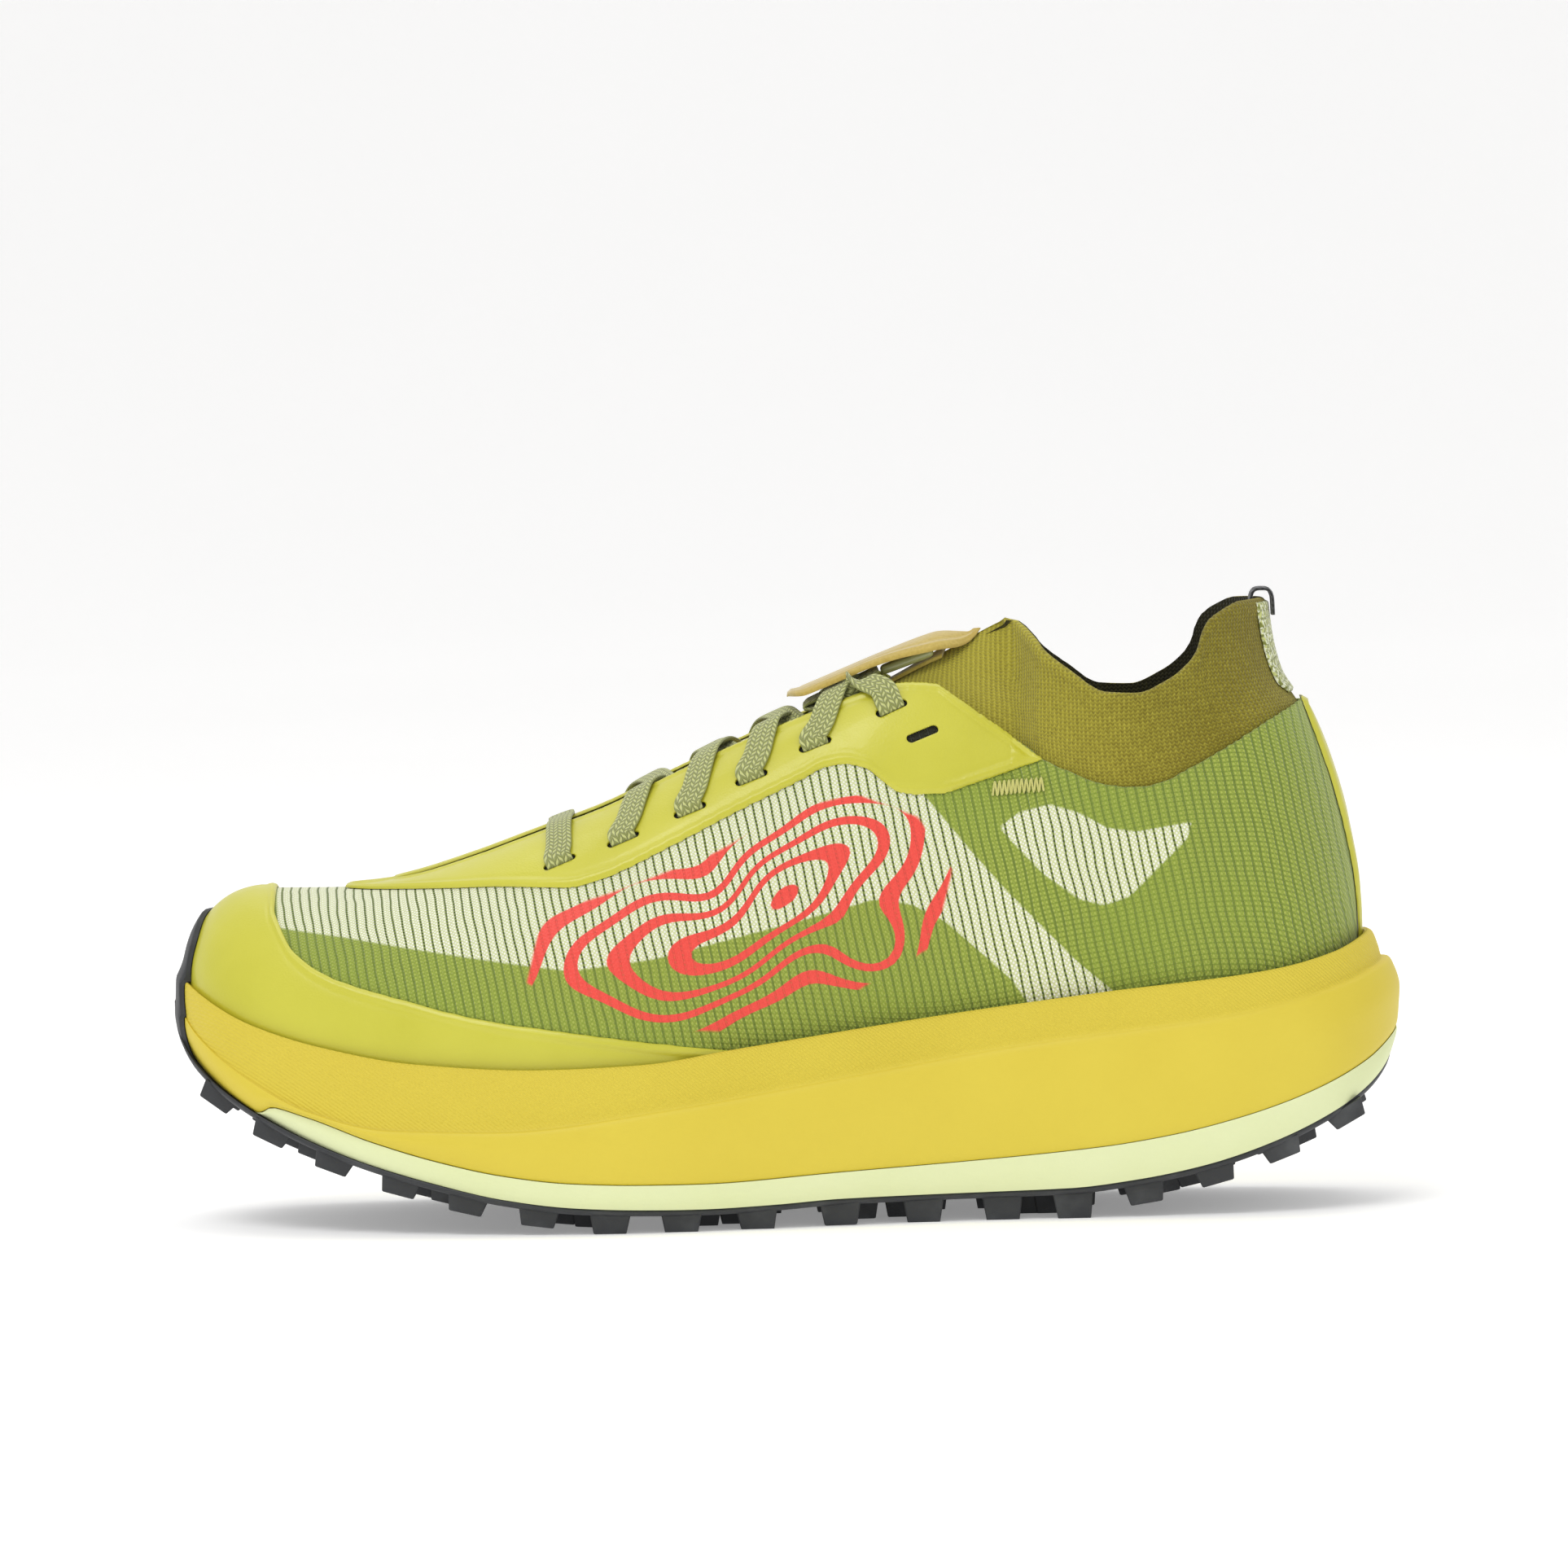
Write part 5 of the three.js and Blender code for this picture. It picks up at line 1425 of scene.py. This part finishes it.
def stowed_end(side):
    stops = [
        (24.8, 14.6, 2.2, 0.85), (20.5, 11.4, 2.1, 0.65), (15, 8.2, 0.9, 0.45), (10, 6.2, -0.9, 0.3),
        (7, 5.2, -0.8, 0.15), (
            6.2, 4.9, -0.2, 0.05,
        ), (7, 4.8, 0.5, 0), (10, 4.8, 0.6, 0), (24, 4.6, 0.5, 0),
    ]
    steps = []
    for x, y, height, turn in stops:
        share = ridge_share(x, y, side)
        hint = heelward(x, side, share) * turn + down_rib(x, side, share) * (1 - turn)
        steps.append((surface_at(x, side, share, height), hint))
    return steps


def lace_route():
    def half(start, high):
        steps = slot_turn(SLOTS[0], start)[::-1]
        mid, base = (0.4, -0.9) if high else (0.4 - STACK, -0.9 - STACK)
        steps += crossing(SLOTS[0], start, SLOTS[1], -start, [UNDER, EDGE_UNDER, base, EDGE_UNDER, UNDER])
        side = -start
        for i in range(1, 5):
            steps += slot_turn(SLOTS[i], side)
            steps += crossing(
                SLOTS[i], side, SLOTS[i + 1], -side, [OVER, EDGE_OVER, mid, EDGE_UNDER, UNDER],
            )
            side = -side
        return steps + slot_turn(SLOTS[5], side) + stowed_end(side)

    bar = crossing(SLOTS[0], 1, SLOTS[0], -1, [OVER, EDGE_OVER, 1.2, EDGE_OVER, OVER])
    return half(1, True)[::-1] + bar + half(-1, False)


def catmull(values, spacing):
    """Dense points through the given ones, about evenly spaced by the first three coordinates."""
    values = np.asarray(values, float)
    padded = np.concatenate([2 * values[:1] - values[1:2], values, 2 * values[-1:] - values[-2:-1]])
    dense = []
    for i in range(1, len(padded) - 2):
        p0, p1, p2, p3 = padded[i - 1 : i + 3]
        steps = max(2, int(np.linalg.norm((p2 - p1)[:3]) / spacing))
        t = (np.arange(steps) / steps)[:, None]
        dense.append(
            0.5 * (
                2 * p1 + (p2 - p0) * t + (
                    2 * p0 - 5 * p1 + 4 * p2 - p3
                ) * t**2 + (3 * p1 - p0 - 3 * p2 + p3) * t**3
            )
        )
    return np.concatenate(dense + [padded[-2:-1]])


def ribbon_mesh(places, hints, width, thick, around, flex=0.0):
    """Points, faces and UVs of a soft-edged ribbon: u along it in millimetres and v across it from 0 to 1."""
    count = len(places)
    forward = np.gradient(places, axis=0)
    forward /= np.linalg.norm(forward, axis=1, keepdims=True)
    across = hints - forward * np.sum(hints * forward, axis=1, keepdims=True)
    across /= np.linalg.norm(across, axis=1, keepdims=True)
    for _ in range(3):
        across[1:-1] = across[:-2] + 2 * across[1:-1] + across[2:]
        across /= np.linalg.norm(across, axis=1, keepdims=True)
    up = np.cross(across, forward)
    angle = 2 * math.pi * np.arange(around) / around
    flat = np.sign(np.cos(angle)) * np.abs(np.cos(angle)) ** 0.55
    deep = np.sign(np.sin(angle)) * np.abs(np.sin(angle)) ** 0.6
    run = np.concatenate([[0], np.cumsum(np.linalg.norm(np.diff(places, axis=0), axis=1))])
    sway = 1 + flex * np.sin(run * 0.21) * np.sin(run * 0.047)
    ring_points = (
        places[:, None, :]
        + across[:, None, :] * (flat[None, :, None] * width / 2 * sway[:, None, None])
        + up[:, None, :] * (deep[None, :, None] * thick / 2)
    )
    faces = grid_faces(count, around, wrap=True).tolist()
    faces.append(list(range(around))[::-1])
    faces.append([(count - 1) * around + k for k in range(around)])
    v = np.broadcast_to((flat + 1)[None, :] / 2, (count, around))
    u = np.broadcast_to(run[:, None], (count, around))
    return ring_points.reshape(-1, 3), faces, np.stack([u, v], -1).reshape(-1, 2)


def build_laces():
    route = lace_route()
    values = np.array([np.concatenate([place_, hint]) for place_, hint in route])
    dense = catmull(values, 0.7)
    points, faces, uv = ribbon_mesh(dense[:, :3], dense[:, 3:], 6.6, 1.05, 24, 0.03)
    weave = woven_material("lace_weave", srgb(196, 200, 128), srgb(134, 140, 74), 1.5, 6)
    place(
        make_object("lace_braid", points, faces, uv, weave, flat_angle=None), "shoe", ["lace"],
        "lace_weave",
    )

    tip, g = new_material("aglet_tip", 0.25, coat=0.5)
    g.color(g.blend(g.noise(300, 2), srgb(150, 154, 100), srgb(176, 180, 124)))
    g.bump(g.noise(600, 2), 0.05)
    for side, tail in ((1, "lateral"), (-1, "medial")):
        a, b = [surface_at(x, side, ridge_share(x, 4.6, side), -0.2) for x in (24.4, 37)]
        run = np.linspace(0, 1, 40)
        places = a + (b - a) * run[:, None]
        radius = 1.08 * np.sqrt(np.clip(1 - np.abs(2 * run - 1) ** 14, 0.1, 1))
        forward = (b - a) / np.linalg.norm(b - a)
        one = np.cross(forward, [0, 0, 1])
        one /= np.linalg.norm(one)
        two = np.cross(one, forward)
        angle = 2 * math.pi * np.arange(20) / 20
        points = places[:, None] + radius[:, None, None] * (
            np.cos(angle)[None, :, None] * one + np.sin(angle)[None, :, None] * two
        )
        faces = grid_faces(40, 20, wrap=True).tolist() + [
            list(range(20))[::-1], [39 * 20 + k for k in range(20)],
        ]
        place(
            make_object("aglet_tube_" + tail, points.reshape(-1, 3), faces, None, tip), "shoe",
            ["aglet_" + tail], "aglet_film",
        )


def build_tab():
    """The pull loop: one webbing run up outside the collar, over the rim and down inside it."""
    rim = [float(surface_at(UPPER_HEEL_X - 0.01, 1, s)[0]) for s in (0.9, 0.97, 1.0)]
    x_at = curve([(130, rim[0]), (140, rim[1]), (147, rim[2])])
    outer, inner = 0.85, -4.45
    line = [
        (x_at(143) + outer, 142.6), (x_at(144) + outer, 144), (x_at(147) + outer - 0.1, 147.2),
        (x_at(147) + outer - 1.0, 148.75), (x_at(147) - 1.8, 149.0), (x_at(147) + inner + 1.0, 148.75),
        (
            x_at(147) + inner + 0.1, 147.2,
        ), (x_at(144) + inner, 144), (x_at(140) + inner, 140), (x_at(137) + inner, 136.9),
    ]
    places = catmull([(float(x), 0.0, float(z)) for x, z in line], 0.5)
    hints = np.tile([0.0, 1.0, 0.0], (len(places), 1))
    points, faces, uv = ribbon_mesh(places, hints, 9, 0.95, 24)
    tape = woven_material("tab_tape", srgb(70, 72, 74), srgb(26, 27, 29), 1.4, 8)
    place(
        make_object("pull_tape", points, faces, uv, tape, flat_angle=None), "shoe", ["pull_tab"],
        "tab_webbing",
    )


def thread(places, radius, around=8):
    hints = np.tile([0.0, 0.0, 1.0], (len(places), 1)) + np.array([0.3, 0.1, 0])
    points, faces, _ = ribbon_mesh(places, hints, radius * 2, radius * 2, around)
    return points, faces


def build_bartacks():
    cotton, g = new_material("bartack_thread", 0.7, sheen=0.3)
    x, _, z = g.object_axes()
    g.color(g.blend(g.wave(g.add(x, z), 0.35), srgb(206, 202, 92), srgb(232, 230, 150)))
    g.bump(g.wave(g.add(x, g.mul(z, 1.4)), 0.35), 0.08)
    for side, tail in ((1, "lateral"), (-1, "medial")):
        zigzag = []
        for k in range(23):
            t = k / 22
            x = 50.8 + 12.6 * t
            z = 102.95 + 1.05 * t + (1.6 if k % 2 else -1.6)
            f = frame_at((x, z, 0), side)
            zigzag.append(f["point"] + f["out"] * 0.62)
        points, faces = thread(catmull(zigzag, 0.3), 0.24)
        place(
            make_object("bartack_stitch_" + tail, points, faces, None, cotton, flat_angle=None), "shoe",
            ["bartack_" + tail], "thread",
        )


# ---------------------------------------------------------------- assembly

make_camera()
make_studio()
foam = build_sole()
build_mesh()
build_films()
build_outsole([foam, bpy.data.objects["toe_guard_film"], bpy.data.objects["mesh_shell"]])
build_knit()
build_tongue()
build_laces()
build_tab()
build_bartacks()
